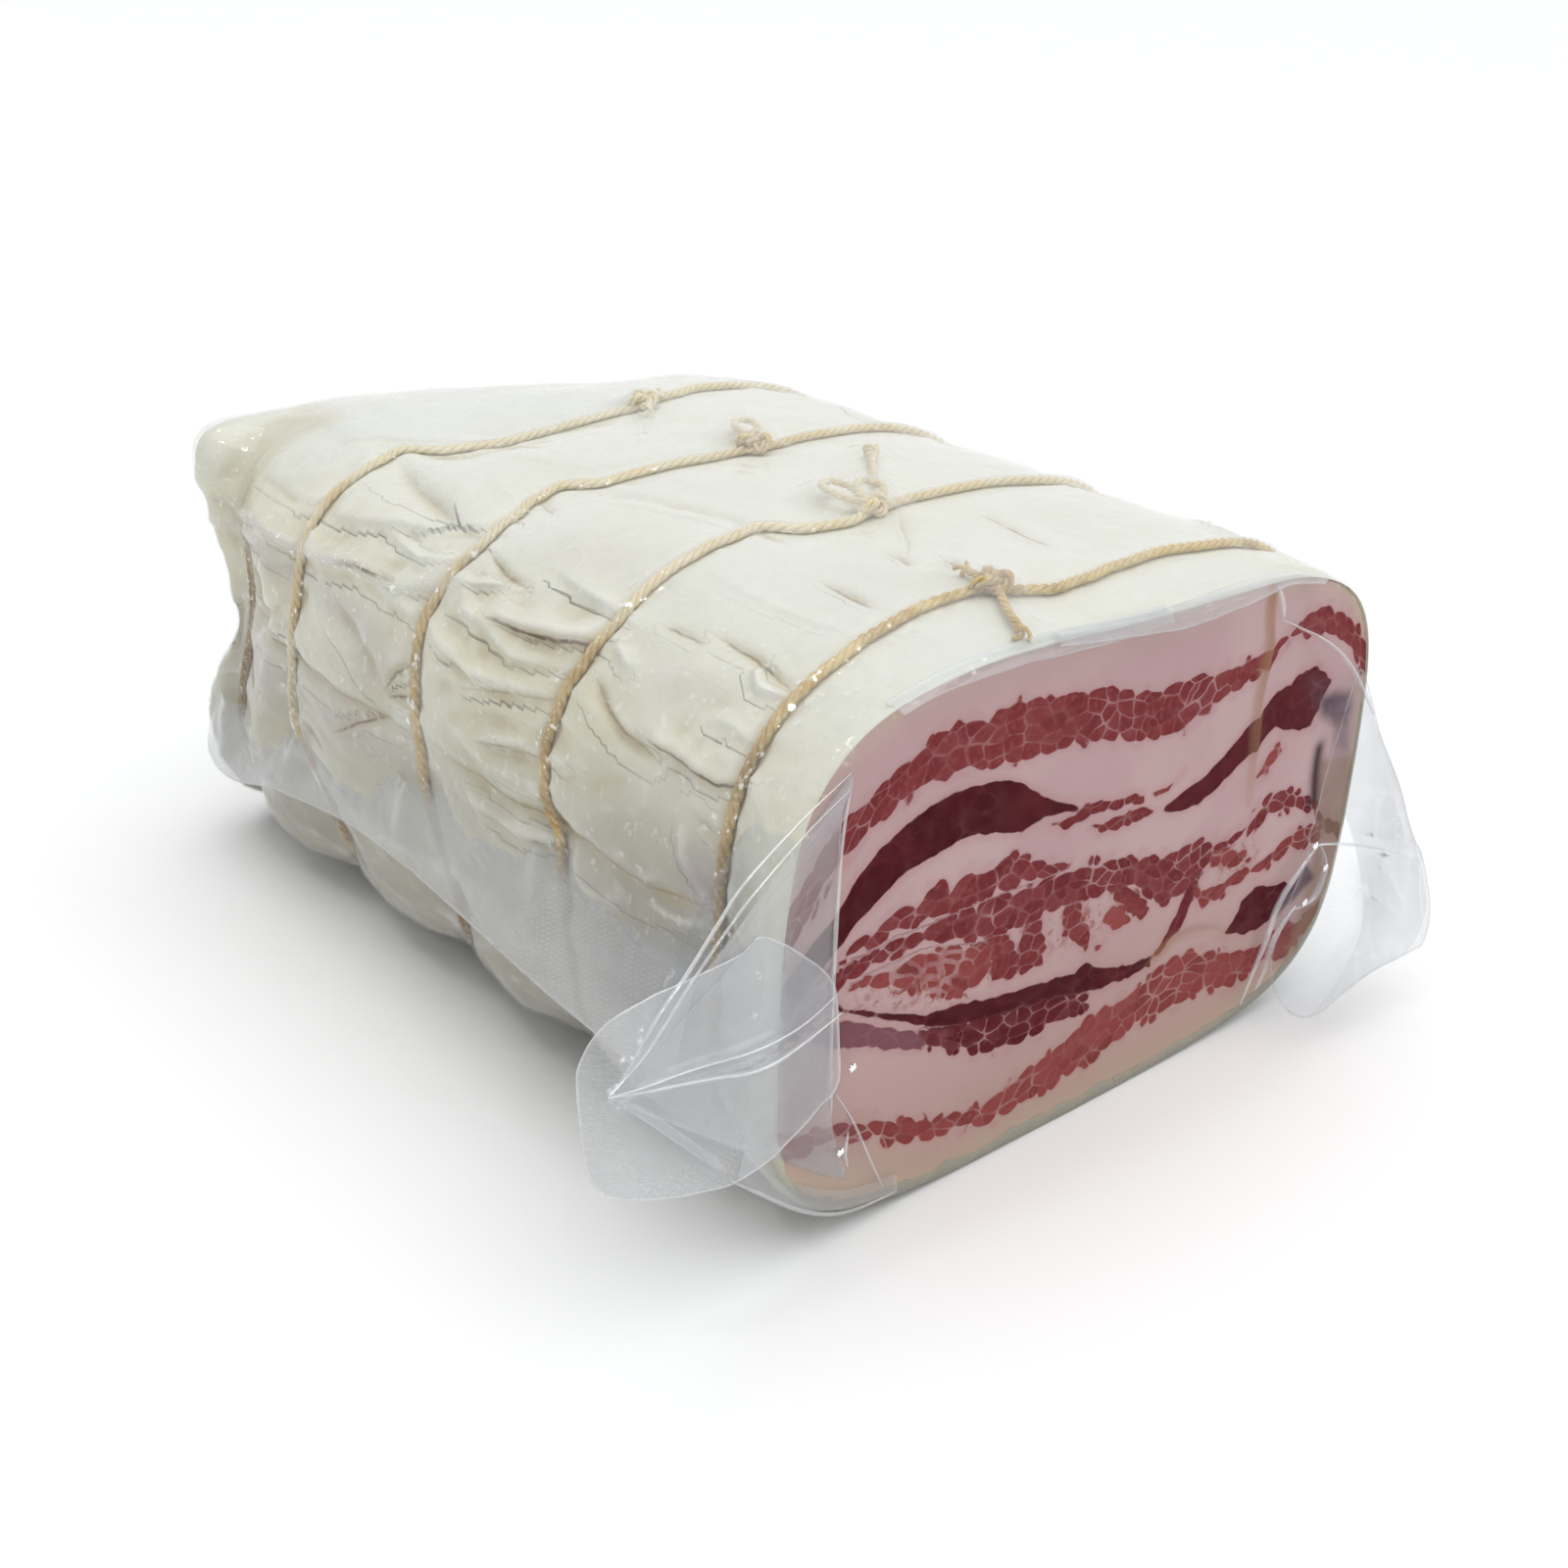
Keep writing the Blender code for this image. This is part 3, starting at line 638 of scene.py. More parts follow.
def casing_material():
    """Cream natural casing: faint mottling, brown creases deepened with painted crease shadow, lean showing
    through as purple grey, painted shade in the hollows of the relief and low down, painted light on its
    ridges.
    """
    n = Nodes("casing")
    here = n.object_place()
    broad = n.noise(here, 28, 3, 0.5)
    fine = n.noise(here, 210, 4, 0.6)
    veins = n.noise(here, 90, 6, 0.7)
    pale = n.mix(n.map(broad, 0.35, 0.65), (0.76, 0.765, 0.69, 1), (0.745, 0.74, 0.64, 1))
    warm = n.mix(n.map(broad, 0.35, 0.65), (0.78, 0.765, 0.62, 1), (0.735, 0.695, 0.52, 1))
    colour = n.mix(n.value("side"), pale, warm)
    colour = n.mix(n.times(n.map(fine, 0.45, 0.75), 0.18), colour, (0.88, 0.87, 0.79, 1))
    colour = n.mix(n.times(n.map(veins, 0.55, 0.75), 0.20), colour, (0.66, 0.61, 0.49, 1))
    colour = n.mix(n.times(n.value("tied"), 0.35), colour, (0.66, 0.51, 0.28, 1))
    # Painted shade: the lower sides and the front of the side are tinted darker and greyer.
    colour = n.mix(n.value("low"), colour, (0.36, 0.33, 0.265, 1))
    # Painted shade: hollows of the relief are tinted darker and browner. Painted light: its ridges are tinted
    # lighter.
    cavity_shade_ridge_light = n.value("cavity_shade_ridge_light")
    sunk = n.map(n.times(cavity_shade_ridge_light, -1.0), 0.05, 1.0, 0.0, 0.5)
    colour = n.mix(sunk, colour, (0.52, 0.43, 0.25, 1))
    colour = n.mix(n.map(cavity_shade_ridge_light, 0.1, 1.0, 0.0, 0.45), colour, (0.87, 0.865, 0.80, 1))
    shade = n.times(n.value("shade"), n.map(n.noise(here, 60, 4, 0.6), 0.25, 0.75, 0.55, 1.0))
    colour = n.mix(shade, colour, (0.42, 0.36, 0.37, 1))
    # Brown crease lines: a brown tint, darkened to near black along the crease as painted shadow.
    wander = n.times(n.minus(n.noise(here, 330, 2, 0.5), 0.5), 0.9)
    away = n.math("ABSOLUTE", n.plus(n.value("line"), wander))
    dark = n.times(n.value("crease_brown_and_shadow"), n.map(n.noise(here, 200, 3, 0.6), 0.3, 0.6, 0.5, 1.0))
    colour = n.mix(n.times(dark, n.map(away, 0.1, 2.2, 0.45, 0.0)), colour, (0.50, 0.36, 0.17, 1))
    colour = n.mix(n.times(dark, n.map(away, 0.08, 0.5, 1.0, 0.0)), colour, (0.13, 0.065, 0.022, 1))
    fold = n.math("POWER", n.math("ABSOLUTE", n.value("fold")), 1.5)
    fold = n.math("POWER", math.e, n.times(fold, -1.0))
    fold = n.times(fold, n.value("fold_high"))
    ridged = n.math("ABSOLUTE", n.minus(n.noise(here, 95, 3, 0.55), 0.5))
    height = n.plus(n.times(n.noise(here, 420, 3, 0.6), 0.5), n.noise(here, 130, 4, 0.6))
    height = n.plus(height, n.times(ridged, -6.0))
    normal = n.bump(fold, 0.0007, 1.0)
    shader = n.add("ShaderNodeBsdfPrincipled", None, Base_Color=colour, Roughness=0.5,
                   Normal=n.bump(height, 0.00025, 0.8, normal))
    shader.inputs["Specular IOR Level"].default_value = 0.3
    return n.finish(shader.outputs[0])


def meat_material():
    """Cut pork belly: pink-white fat with lean streaks, split into bundles by fine pale walls."""
    n = Nodes("meat")
    here = n.object_place()
    warp = n.scaled(n.shifted(n.noise(here, 190, 1, 0.5, True), (-0.5, -0.5, -0.5)), (0.7, 0.7, 0.0))
    cells_at = n.shifted(n.vector("bundle"), warp)
    wall = n.add("ShaderNodeTexVoronoi", {"voronoi_dimensions": "2D", "feature": "DISTANCE_TO_EDGE"},
                 Vector=cells_at, Scale=1.0, Randomness=0.9).outputs["Distance"]
    cell = n.add("ShaderNodeTexVoronoi", {"voronoi_dimensions": "2D", "feature": "F1"},
                 Vector=cells_at, Scale=1.0, Randomness=0.9)
    tone, off_centre = cell.outputs["Color"], cell.outputs["Distance"]
    small_at = n.scaled(cells_at, (2.2, 2.2, 1.0))
    small_wall = n.add("ShaderNodeTexVoronoi", {"voronoi_dimensions": "2D", "feature": "DISTANCE_TO_EDGE"},
                       Vector=small_at, Scale=1.0, Randomness=0.9).outputs["Distance"]
    ragged = n.times(n.minus(n.noise(here, 480, 3, 0.6), 0.5), 0.9)
    swell = n.times(n.value("cobbled"), n.minus(0.40, off_centre))
    edge = n.plus(n.plus(n.value("lean"), n.times(swell, 3.2)), ragged)
    lean = n.map(edge, -0.18, 0.18)
    gap = n.times(n.value("gap"), n.map(n.noise(here, 95, 2, 0.5), 0.36, 0.64, 0.2, 1.35))
    corners = n.times(n.math("MAXIMUM", n.minus(off_centre, 0.42), 0.0), 0.15)
    inner = n.minus(n.minus(wall, gap), corners)
    split = n.minus(1.0, n.map(inner, -0.025, 0.028))
    strong = n.map(n.noise(here, 70, 2, 0.5), 0.40, 0.62, 0.08, 0.62)
    patchy = n.map(n.noise(here, 150, 2, 0.5), 0.54, 0.68, 0.0, 0.4)
    thin = n.times(n.minus(1.0, n.map(small_wall, 0.01, 0.06)), n.times(n.value("cobbled"), patchy))
    split = n.times(split, n.map(n.value("cobbled"), 0.15, 0.8, 0.05, 1.0))
    pale = n.math("MAXIMUM", n.times(split, strong), n.times(thin, 0.4))
    muscle = n.times(lean, n.minus(1.0, pale))
    rosy = n.mix(n.value("rosy"), (0.185, 0.017, 0.027, 1), (0.300, 0.062, 0.053, 1))
    red = n.mix(n.value("dark"), rosy, (0.052, 0.001, 0.005, 1))
    apart = n.minus(n.add("ShaderNodeSeparateColor", None, Color=tone).outputs[0], 0.5)
    apart = n.times(apart, n.value("cobbled"))
    red = n.mix(n.math("MAXIMUM", n.times(apart, 0.35), 0.0), red, (0.36, 0.12, 0.12, 1))
    near_wall = n.times(n.map(off_centre, 0.3, 0.75, 0.0, 0.18), n.value("cobbled"))
    red = n.mix(near_wall, red, (0.36, 0.11, 0.11, 1))
    blotch = n.times(n.map(n.noise(here, 75, 4, 0.6), 0.45, 0.7, 0.0, 0.5), n.value("dark"))
    red = n.mix(blotch, red, (0.13, 0.012, 0.018, 1))
    red = n.mix(n.math("MAXIMUM", n.times(apart, -0.5), 0.0), red, (0.075, 0.008, 0.012, 1))
    fibre = n.noise(here, 900, 3, 0.65)
    fibres = n.times(n.map(fibre, 0.46, 0.74, 0.0, 0.42), n.map(n.value("dark"), 0, 1, 1.0, 0.25))
    red = n.mix(fibres, red, (0.40, 0.13, 0.13, 1))
    red = n.mix(n.value("lilac"), red, (0.22, 0.09, 0.11, 1))
    fat = n.mix(n.map(n.noise(here, 34, 3, 0.5), 0.35, 0.65), (0.59, 0.410, 0.405, 1), (0.54, 0.36, 0.36, 1))
    fat = n.mix(n.times(n.value("low"), 0.8), fat, (0.50, 0.335, 0.29, 1))
    fat = n.mix(n.value("rim"), fat, (0.57, 0.44, 0.32, 1))
    fat = n.mix(n.map(n.noise(here, 300, 4, 0.6), 0.6, 0.8, 0.0, 0.2), fat, (0.67, 0.49, 0.48, 1))
    near_lean = n.map(edge, -2.4, 0.0, 0.0, 0.30)
    fat = n.mix(near_lean, fat, (0.46, 0.20, 0.21, 1))
    fat = n.mix(n.times(n.value("pores"), n.map(n.noise(here, 520, 3, 0.7), 0.5, 0.62)), fat,
                (0.34, 0.12, 0.10, 1))
    colour = n.mix(muscle, fat, red)
    cloudy = n.map(n.noise(here, 120, 4, 0.6), 0.3, 0.7, 0.7, 1.0)
    colour = n.mix(n.times(n.value("tanned"), cloudy), colour, (0.31, 0.20, 0.125, 1))
    # Painted shade: the slit near the right edge is painted near black.
    colour = n.mix(n.value("deep"), colour, (0.06, 0.03, 0.035, 1))
    colour = n.mix(n.times(n.value("bruise"), cloudy), colour, (0.095, 0.055, 0.085, 1))
    away = n.math("ABSOLUTE", n.value("line"))
    colour = n.mix(n.times(n.value("line_tan"), n.map(away, 0.2, 2.6, 0.8, 0.0)), colour,
                   (0.42, 0.23, 0.13, 1))
    height = n.plus(n.times(muscle, -0.5), n.times(fibre, 0.2))
    shader = n.add("ShaderNodeBsdfPrincipled", None, Base_Color=colour, Roughness=0.6,
                   Normal=n.bump(height, 0.0002, 0.6))
    shader.inputs["Specular IOR Level"].default_value = 0.02
    return n.finish(shader.outputs[0])


def twine_material():
    """Kitchen twine: pale where it is dry, ochre where it is wet, and brown low down as painted shade."""
    n = Nodes("twine")
    here = n.object_place()
    colour = n.mix(n.map(n.noise(here, 75, 4, 0.6), 0.36, 0.62), (0.86, 0.80, 0.62, 1), (0.80, 0.69, 0.44, 1))
    wet = n.mix(n.map(n.noise(here, 130, 4, 0.6), 0.38, 0.62), (0.70, 0.53, 0.23, 1), (0.50, 0.33, 0.11, 1))
    colour = n.mix(n.map(n.value("stain_and_shade"), 0.0, 0.5), colour, wet)
    # Painted shade: the twine is tinted dark brown low down on the block.
    colour = n.mix(n.map(n.value("stain_and_shade"), 0.5, 1.0), colour, (0.27, 0.165, 0.05, 1))
    # Pale speckles: lighter fibres, partly painted highlights.
    colour = n.mix(n.map(n.noise(here, 900, 3, 0.6), 0.5, 0.7, 0.0, 0.5), colour, (0.85, 0.76, 0.54, 1))
    shader = n.add("ShaderNodeBsdfPrincipled", None, Base_Color=colour, Roughness=0.7,
                   Normal=n.bump(n.noise(here, 2200, 3, 0.7), 0.0002, 0.8))
    shader.inputs["Sheen Weight"].default_value = 0.2
    return n.finish(shader.outputs[0])


def film_material():
    """Clear pouch film: see-through, glossy, cloudy where it is slack and ribbed where it is sealed; its
    cloudy tone is painted whiter over the top as painted light.
    """
    n = Nodes("film")
    here = n.object_place()
    cloud = n.times(n.value("haze"), n.map(n.noise(here, 45, 3, 0.5), 0.3, 0.7, 0.75, 1.25))
    ribs = n.add("ShaderNodeTexWave", {"wave_type": "BANDS", "bands_direction": "DIAGONAL"}, Vector=here,
                 Scale=420.0, Distortion=0.0).outputs["Fac"]
    cross = n.add("ShaderNodeTexWave", {"wave_type": "BANDS", "bands_direction": "Z"}, Vector=here,
                  Scale=340.0, Distortion=0.0).outputs["Fac"]
    hatch = n.times(n.times(ribs, cross), n.value("frost"))
    cloud = n.plus(cloud, n.times(hatch, 0.08))
    normal = n.bump(n.noise(here, 110, 4, 0.6), 0.0006, 0.7)
    normal = n.bump(hatch, 0.00004, 0.5, normal)
    clear = n.add("ShaderNodeBsdfTransparent", None, Color=(0.965, 0.970, 0.980, 1))
    # Painted light: cloudy film is whiter on the top and greyer on the sides.
    tone = n.mix(n.value("painted_top_light"), (0.80, 0.81, 0.82, 1), (0.97, 0.985, 1.0, 1))
    tone = n.mix(n.value("cream"), tone, (0.84, 0.82, 0.72, 1))
    white = n.add("ShaderNodeBsdfDiffuse", None, Color=tone, Normal=normal)
    through = n.add("ShaderNodeBsdfTranslucent", None, Color=tone, Normal=normal)
    milky = n.blend(0.45, white, through)
    body = n.blend(cloud, clear, milky)
    gloss = n.add("ShaderNodeBsdfGlossy", None, Color=(1, 1, 1, 1), Roughness=0.07, Normal=normal)
    facing = n.add("ShaderNodeLayerWeight", None, Blend=0.5, Normal=normal).outputs["Facing"]
    sheen = n.plus(0.035, n.times(n.math("POWER", facing, 5.0), 0.7))
    sheen = n.times(sheen, n.minus(1.0, n.value("dull")))
    sheen = n.plus(sheen, n.value("shine"))
    sparks = n.times(n.value("glint"), n.map(n.noise(here, 420, 3, 0.6), 0.60, 0.68, 0.0, 0.6))
    sheen = n.plus(sheen, sparks)
    return n.finish(n.blend(sheen, body, gloss).outputs[0])


# Casing

CASING_STEP = 1.1
CASING_AROUND, CASING_SPARE = 424, 132
BACK_RINGS = 26


def lip_thickness(s):
    """How thick the casing shows at the cut edge: thin above, thick and torn below."""
    low = smooth_step(np.cos((s + 119) * 2 * np.pi / ROUND), 0.1, 0.8)
    torn = 0.5 + 0.9 * np.abs(round_noise(s, 7.0, 4.0)) + 0.6 * np.abs(round_noise(s, 2.6, 6.0))
    right = smooth_step(np.cos((s - 230) * 2 * np.pi / ROUND), 0.5, 0.95)
    return (0.75 + 0.35 * round_noise(s, 16.0, 2.0)) * (1 - 0.7 * right) + low * 2.6 * torn


def casing(mat):
    s_row = round_places(CASING_AROUND, CASING_SPARE)
    lip = lip_thickness(s_row)
    v_body = np.concatenate([np.arange(1.0, LENGTH - 6, CASING_STEP), np.linspace(LENGTH - 5.6, LENGTH, 7)])
    v = [1.4, -0.1, -0.45, -0.35, 0.25, *v_body]
    inset = [lip, lip, lip * 0.75, 0.25 + 0 * lip, 0 * lip]
    inset += [0 * lip + between([(216, 0.0), (220.5, 1.0), (222, 3.2)], value) for value in v_body]
    v_grid, s_grid = np.meshgrid(v, s_row, indexing="ij")
    grid = skin(v_grid, s_grid, np.array(inset))
    away = outward(grid)
    high, draw = relief(v_grid, s_grid, grid)
    grid = grid + away * high[..., None]
    grid[..., 2] = np.maximum(grid[..., 2], 0.05)
    edge = grid[-1]
    middle = np.array([0.0, LENGTH, MID_Z])
    rings = []
    for share in np.linspace(0.97, 0.03, BACK_RINGS):
        ring = middle + (edge - middle) * [share, share ** 3, share]
        pull = round_noise(s_row, 7.0, 3.0) + 0.6 * round_noise(s_row, 17.0, 5.0)
        ring[:, 1] += 1.7 * pull * share * (1 - share) * 2.2 - 1.2 * (1 - share) ** 2
        rings.append(ring)
    grid = np.concatenate([grid, np.array(rings)])
    extra = np.zeros((BACK_RINGS, CASING_AROUND))
    near_tie = tie_distance(v_grid)
    side = 1 - smooth_step(grid[: len(v), :, 2], 88, 108)
    tied = np.exp(-(near_tie / 3.0) ** 2) * (0.35 + 0.65 * side)
    shade = sum(strength * np.exp(-((v_grid - y) / reach_y) ** 2 - ((s_grid - s) / reach_s) ** 2)
                for y, s, reach_y, reach_s, strength in SHADES)
    # Painted shade: low grows down the sides and near the front, and fades at the cut edge.
    depth = -grid[: len(v), :, 2]
    low = 0.54 * smooth_step(depth, -88, -50) + 0.42 * smooth_step(depth, -46, -18)
    low += 0.46 * smooth_step(depth, -98, -70) * smooth_step(-v_grid, -72, -40)
    low = low * (1 - 0.85 * (1 - smooth_step(v_grid, 3, 14)) * (0.3 + 0.7 * smooth_step(-depth, 8, 34)))
    shade = np.clip(shade, 0, 1)
    # Painted shade and light: how far each point lies below or above its softened relief, for darker hollows
    # and lighter ridges
    cavity_shade_ridge_light = np.clip((high - soften(high, 6)) / 0.7, -1, 1)
    points, faces = closed_loft(grid, [(0, 1.4, MID_Z), (0, LENGTH - 1.2, MID_Z)])
    values = {"tied": tied, "shade": shade, "side": side, "low": low, "cavity_shade_ridge_light": cavity_shade_ridge_light, **draw}
    rest = {"fold": 3.0, "line": 9.0}
    for key, value in values.items():
        value = np.concatenate([value, extra + rest.get(key, 0.0)]).ravel()
        values[key] = np.append(value, [rest.get(key, 0.0)] * 2)
    return make_piece("casing", points, faces, mat, values)


# Cut face

FACE_AROUND = 620
FACE_RINGS = 122

# How light and orange the lean is, how near black-red, how bundled, how wide its fat walls are, how lilac
LOOKS = ("rosy", "dark", "cobbled", "gap", "lilac")

# Lean streaks across the face: upper and lower edges as (x, z), and their looks
STREAKS = [
    ([(-84, 72), (-78, 79), (-72, 87), (-66, 89.5), (-58, 94), (-50, 98), (-42, 98.5), (-36, 97.5),
     (-29, 99.3), (-20, 97.2), (-12, 97), (-5, 96), (1, 93.2), (9, 91.2), (20, 91.8), (36, 91.2), (43, 92),
     (50, 93.5), (56, 97), (64, 97.2), (70, 94.5), (76, 90), (84, 82)], [(-84, 62), (-78, 70), (-71, 78),
     (-66, 83), (-60, 86), (-52, 88.5), (-45, 89), (-36, 88.2), (-26, 86.8), (-12, 86.2), (-3, 85),
     (5, 82.6), (14, 80.8), (20, 80.5), (26, 83), (34, 85.4), (43, 87), (50, 91.6), (58, 92.5), (66, 90.5),
     (73, 86.5), (84, 75)], (0.35, 0.08, 0.9, 0.03, 0.0)),
    ([(-84, 58), (-76, 66), (-71, 70), (-65, 77), (-58, 81.5), (-50, 84.5), (-42, 85.4), (-33, 84.4),
     (-27, 82.8), (-22, 79), (-17, 76), (-12, 74), (-10, 72.5)], [(-84, 50), (-76, 58), (-71, 62),
     (-67, 65.6), (-61, 69.6), (-55, 73), (-47, 74.3), (-39, 75.4), (-32, 73.8), (-25, 72), (-19, 73),
     (-13, 72.6), (-10, 72.2)], (0.0, 0.95, 0.24, 0.004, 0.0)),
    ([(17, 64.8), (22, 66.2), (30, 68.4), (36, 72), (43, 77), (50, 81.5), (56, 82.2), (60, 80), (64, 76)],
     [(17, 63.8), (22, 62.2), (28, 62.2), (34, 64.2), (40, 67.2), (46, 70.4), (51, 73.4), (56, 71.4),
     (60, 70.4), (64, 70.4)], (0.0, 0.8, 0.24, 0.004, 0.0)),
    ([(-84, 52), (-76, 57), (-70, 60.6), (-66, 62.6), (-60, 64.6), (-54, 66.2), (-51.6, 65.6),
     (-48.6, 67.4), (-45.4, 68.2), (-42.4, 66.2), (-39.4, 67.2), (-36.8, 67.6), (-33.6, 66.4),
     (-30.4, 66.8), (-27.4, 68.2), (-24, 66.8), (-21, 64.6), (-17, 63), (-13, 61.6), (-10.6, 60.4)],
     [(-84, 51), (-76, 56), (-70, 59.6), (-66, 60), (-60, 60.8), (-55, 61.8), (-51, 61.2), (-42, 60.4),
     (-34, 60.6), (-22, 60.4), (-15, 59.9), (-10.6, 60)], (0.35, 0.15, 1.0, 0.035, 0.0)),
    ([(-84, 48), (-76, 54), (-70, 57.8), (-66, 59), (-60, 59.2), (-54, 60.2), (-48, 59.8), (-42, 60),
     (-34, 60), (-22, 59.6), (-15, 59.2), (-9, 59.6), (-4, 59.4), (1, 57.8), (8, 56.2), (15, 54.4),
     (20, 53), (24, 53), (29, 53.6), (34, 51.8), (40, 50.8), (45, 51.2), (48, 53.6), (51, 56), (55, 57.2),
     (60, 56.4), (65, 53.9), (70, 51), (84, 40)], [(-84, 46), (-76, 51), (-70, 54), (-66, 55.2),
     (-60, 56.6), (-52, 56.6), (-45, 55.6), (-38, 53), (-30, 51.4), (-22, 50.8), (-14, 51.4), (-6, 51.2),
     (2, 49.8), (8, 49.2), (14, 46), (19, 42.4), (24, 40.6), (29, 42), (34, 45.6), (40, 48.4), (45, 49.8),
     (50, 50.6), (56, 52.2), (61, 51.4), (66, 49.6), (70, 48), (84, 36)], (0.3, 0.22, 1.1, 0.04, 0.0)),
    ([(-66, 54.2), (-58, 54.8), (-50, 55), (-42, 53.4), (-35, 51.6), (-28, 50.2)], [(-66, 53.4),
     (-58, 50.4), (-50, 47.2), (-42, 43.4), (-35, 40.6), (-28, 46)], (0.8, 0.0, 1.4, 0.15, 0.0)),
    ([(30, 44), (35, 39.6), (40, 40.4), (47, 41), (54, 41), (60, 44), (65, 45.2), (70, 44.6), (76, 44)],
     [(30, 41), (35, 36.2), (41, 36.8), (47, 38.8), (54, 38.2), (61, 40.6), (66, 40.4), (70, 40), (76, 40)],
     (0.55, 0.0, 0.9, 0.06, 0.0)),
    ([(-84, 60), (-76, 56), (-70, 52), (-66, 49.2), (-60, 46.4), (-52, 42.8), (-47, 40.7), (-40, 40),
     (-32, 38.4), (-22, 36.8), (-12, 35.6), (-5, 34.4), (-2, 36.2), (2, 33.4), (8, 31), (14, 29.8),
     (20, 29.4)], [(-84, 59), (-76, 55), (-70, 50.8), (-66, 48.2), (-60, 45.2), (-52, 41.4), (-47, 38.2),
     (-40, 35.4), (-30, 33.2), (-20, 31.6), (-8, 30), (2, 27.8), (12, 27), (20, 27)],
     (0.0, 0.95, 0.25, 0.02, 0.0)),
    ([(-48, 38), (-40, 36), (-30, 34.4), (-20, 32.6), (-8, 31), (0, 28)], [(-48, 35.4), (-42, 31),
     (-36, 28.6), (-30, 25.6), (-22, 24), (-14, 24), (-8, 25), (-4, 24), (0, 24)],
     (0.0, 0.6, 1.0, 0.035, 0.0)),
    ([(-84, 30), (-76, 27), (-69, 25.6), (-63, 24.2), (-56, 21.4), (-48, 18), (-42, 15.6), (-35, 14),
     (-28, 13.2), (-20, 15), (-12, 17.2), (-6, 18.4), (0, 21.4), (8, 22.2), (15, 22.4), (21, 25),
     (28, 26.6), (34, 25.6), (42, 22.6), (50, 20), (57, 18.6), (66, 20), (75, 21), (84, 24)], [(-84, 24),
     (-76, 22), (-69, 21.4), (-62, 20), (-55, 16), (-48, 12.8), (-40, 10.8), (-32, 9.2), (-24, 7.6),
     (-16, 8.8), (-10, 8.4), (-3, 9.8), (6, 10.4), (12, 12.2), (17, 14), (24, 13.2), (34, 14), (42, 12.6),
     (50, 11), (58, 12.4), (66, 13), (75, 17), (84, 19)], (0.85, 0.0, 1.1, 0.045, 0.0)),
]

# Smaller lean pieces: outline as (x, z), and their looks
PIECES = [
    ([(-17, 71), (-11, 71.4), (-8, 73), (-3, 71.6), (4, 70.8), (10, 69.4), (10, 68), (2, 68.8), (-4, 69.6),
     (-9, 69.4), (-13, 69)], (0.35, 0.3, 0.5, 0.05, 0.0)),
    ([(-5, 67.4), (0, 66.8), (6, 67.4), (12, 66), (14, 64.8), (9, 64.2), (3, 64.4), (-2, 65)],
     (0.4, 0.25, 0.4, 0.05, 0.0)),
    ([(13, 69), (18, 69.4), (22, 71), (18, 68.2), (14, 67.8)], (0.5, 0.1, 0.3, 0.02, 0.0)),
    ([(64, 71), (60, 72), (55, 74.4), (52, 79), (56, 84), (62, 84.4), (68, 80), (66, 74)],
     (0.05, 0.75, 0.3, 0.02, 0.0)),
    ([(-32, 52), (-27, 51), (-23, 46), (-21, 42), (-25, 40.4), (-29.6, 42), (-31, 47)],
     (0.4, 0.15, 0.6, 0.04, 0.0)),
    ([(-22, 51), (-17, 50.4), (-14.6, 44), (-15.6, 40.4), (-21, 40.2), (-23.6, 43)],
     (0.4, 0.15, 0.5, 0.03, 0.0)),
    ([(-10, 51), (-6, 51), (-2.6, 45), (-1.2, 40), (-2.6, 38.8), (-5.6, 41.6), (-10, 45)],
     (0.45, 0.12, 0.5, 0.03, 0.0)),
    ([(1.2, 43.8), (4.6, 46.6), (8.4, 45.6), (10.6, 41), (8, 40.4), (3, 42.2)], (1.0, 0.0, 0.7, 0.03, 0.0)),
    ([(3, 50), (8, 50.6), (13, 46), (17, 42), (14.4, 40.2), (9.6, 43.4), (5.4, 47.6)],
     (0.4, 0.15, 0.5, 0.03, 0.0)),
    ([(0.4, 38.6), (2.8, 38.6), (2.2, 37.2), (0.8, 37.4)], (0.8, 0.0, 0.2, 0.0, 0.0)),
    ([(-54, 48.6), (-50, 49.4), (-47, 47.6), (-50, 46.6)], (1.0, 0.0, 0.5, 0.05, 0.0)),
    ([(-42, 44.6), (-39, 45.6), (-36, 43), (-37, 40.4), (-41, 41.6)], (1.0, 0.0, 0.5, 0.05, 0.0)),
    ([(30, 50), (38, 50), (45, 46.4), (49, 43), (43, 42.8), (36, 46)], (0.6, 0.0, 1.3, 0.12, 0.0)),
    ([(47, 63), (50, 66.4), (54, 70), (55, 67), (51, 62)], (1.0, 0.0, 0.5, 0.05, 0.0)),
    ([(33, 45), (29, 44), (26.6, 38), (24, 33.6), (20, 28.8), (22, 28.8), (28, 32.6), (30.6, 38)],
     (0.2, 0.45, 0.2, 0.03, 0.0)),
    ([(44, 26), (47, 29), (49, 33), (53, 35.4), (59, 33.2), (64, 33), (68, 30), (65, 26.6), (60, 23.6),
     (52, 23.8)], (0.0, 0.85, 0.3, 0.02, 0.0)),
    ([(-72, 49), (-66, 46.6), (-60, 43.8), (-50, 38.4), (-44, 35.4), (-47, 33.6), (-55, 36.4), (-63, 40.4),
     (-70, 42.4), (-76, 46)], (0.3, 0.1, 0.3, 0.03, 0.9)),
    ([(62, 14), (66, 17), (73, 20), (78, 24), (80, 20), (74, 14), (66, 11)], (0.7, 0.0, 0.8, 0.04, 0.0)),
]
# Pored places of the fat: x, z, and reach along both
PORES = [(-54, 49, 10, 4), (-42, 45, 8, 4), (-6, 46, 12, 4), (44, 45, 7, 3)]
# Size of the lean bundles along and across a streak
BUNDLE_LONG, BUNDLE_WIDE = 4.6, 3.1
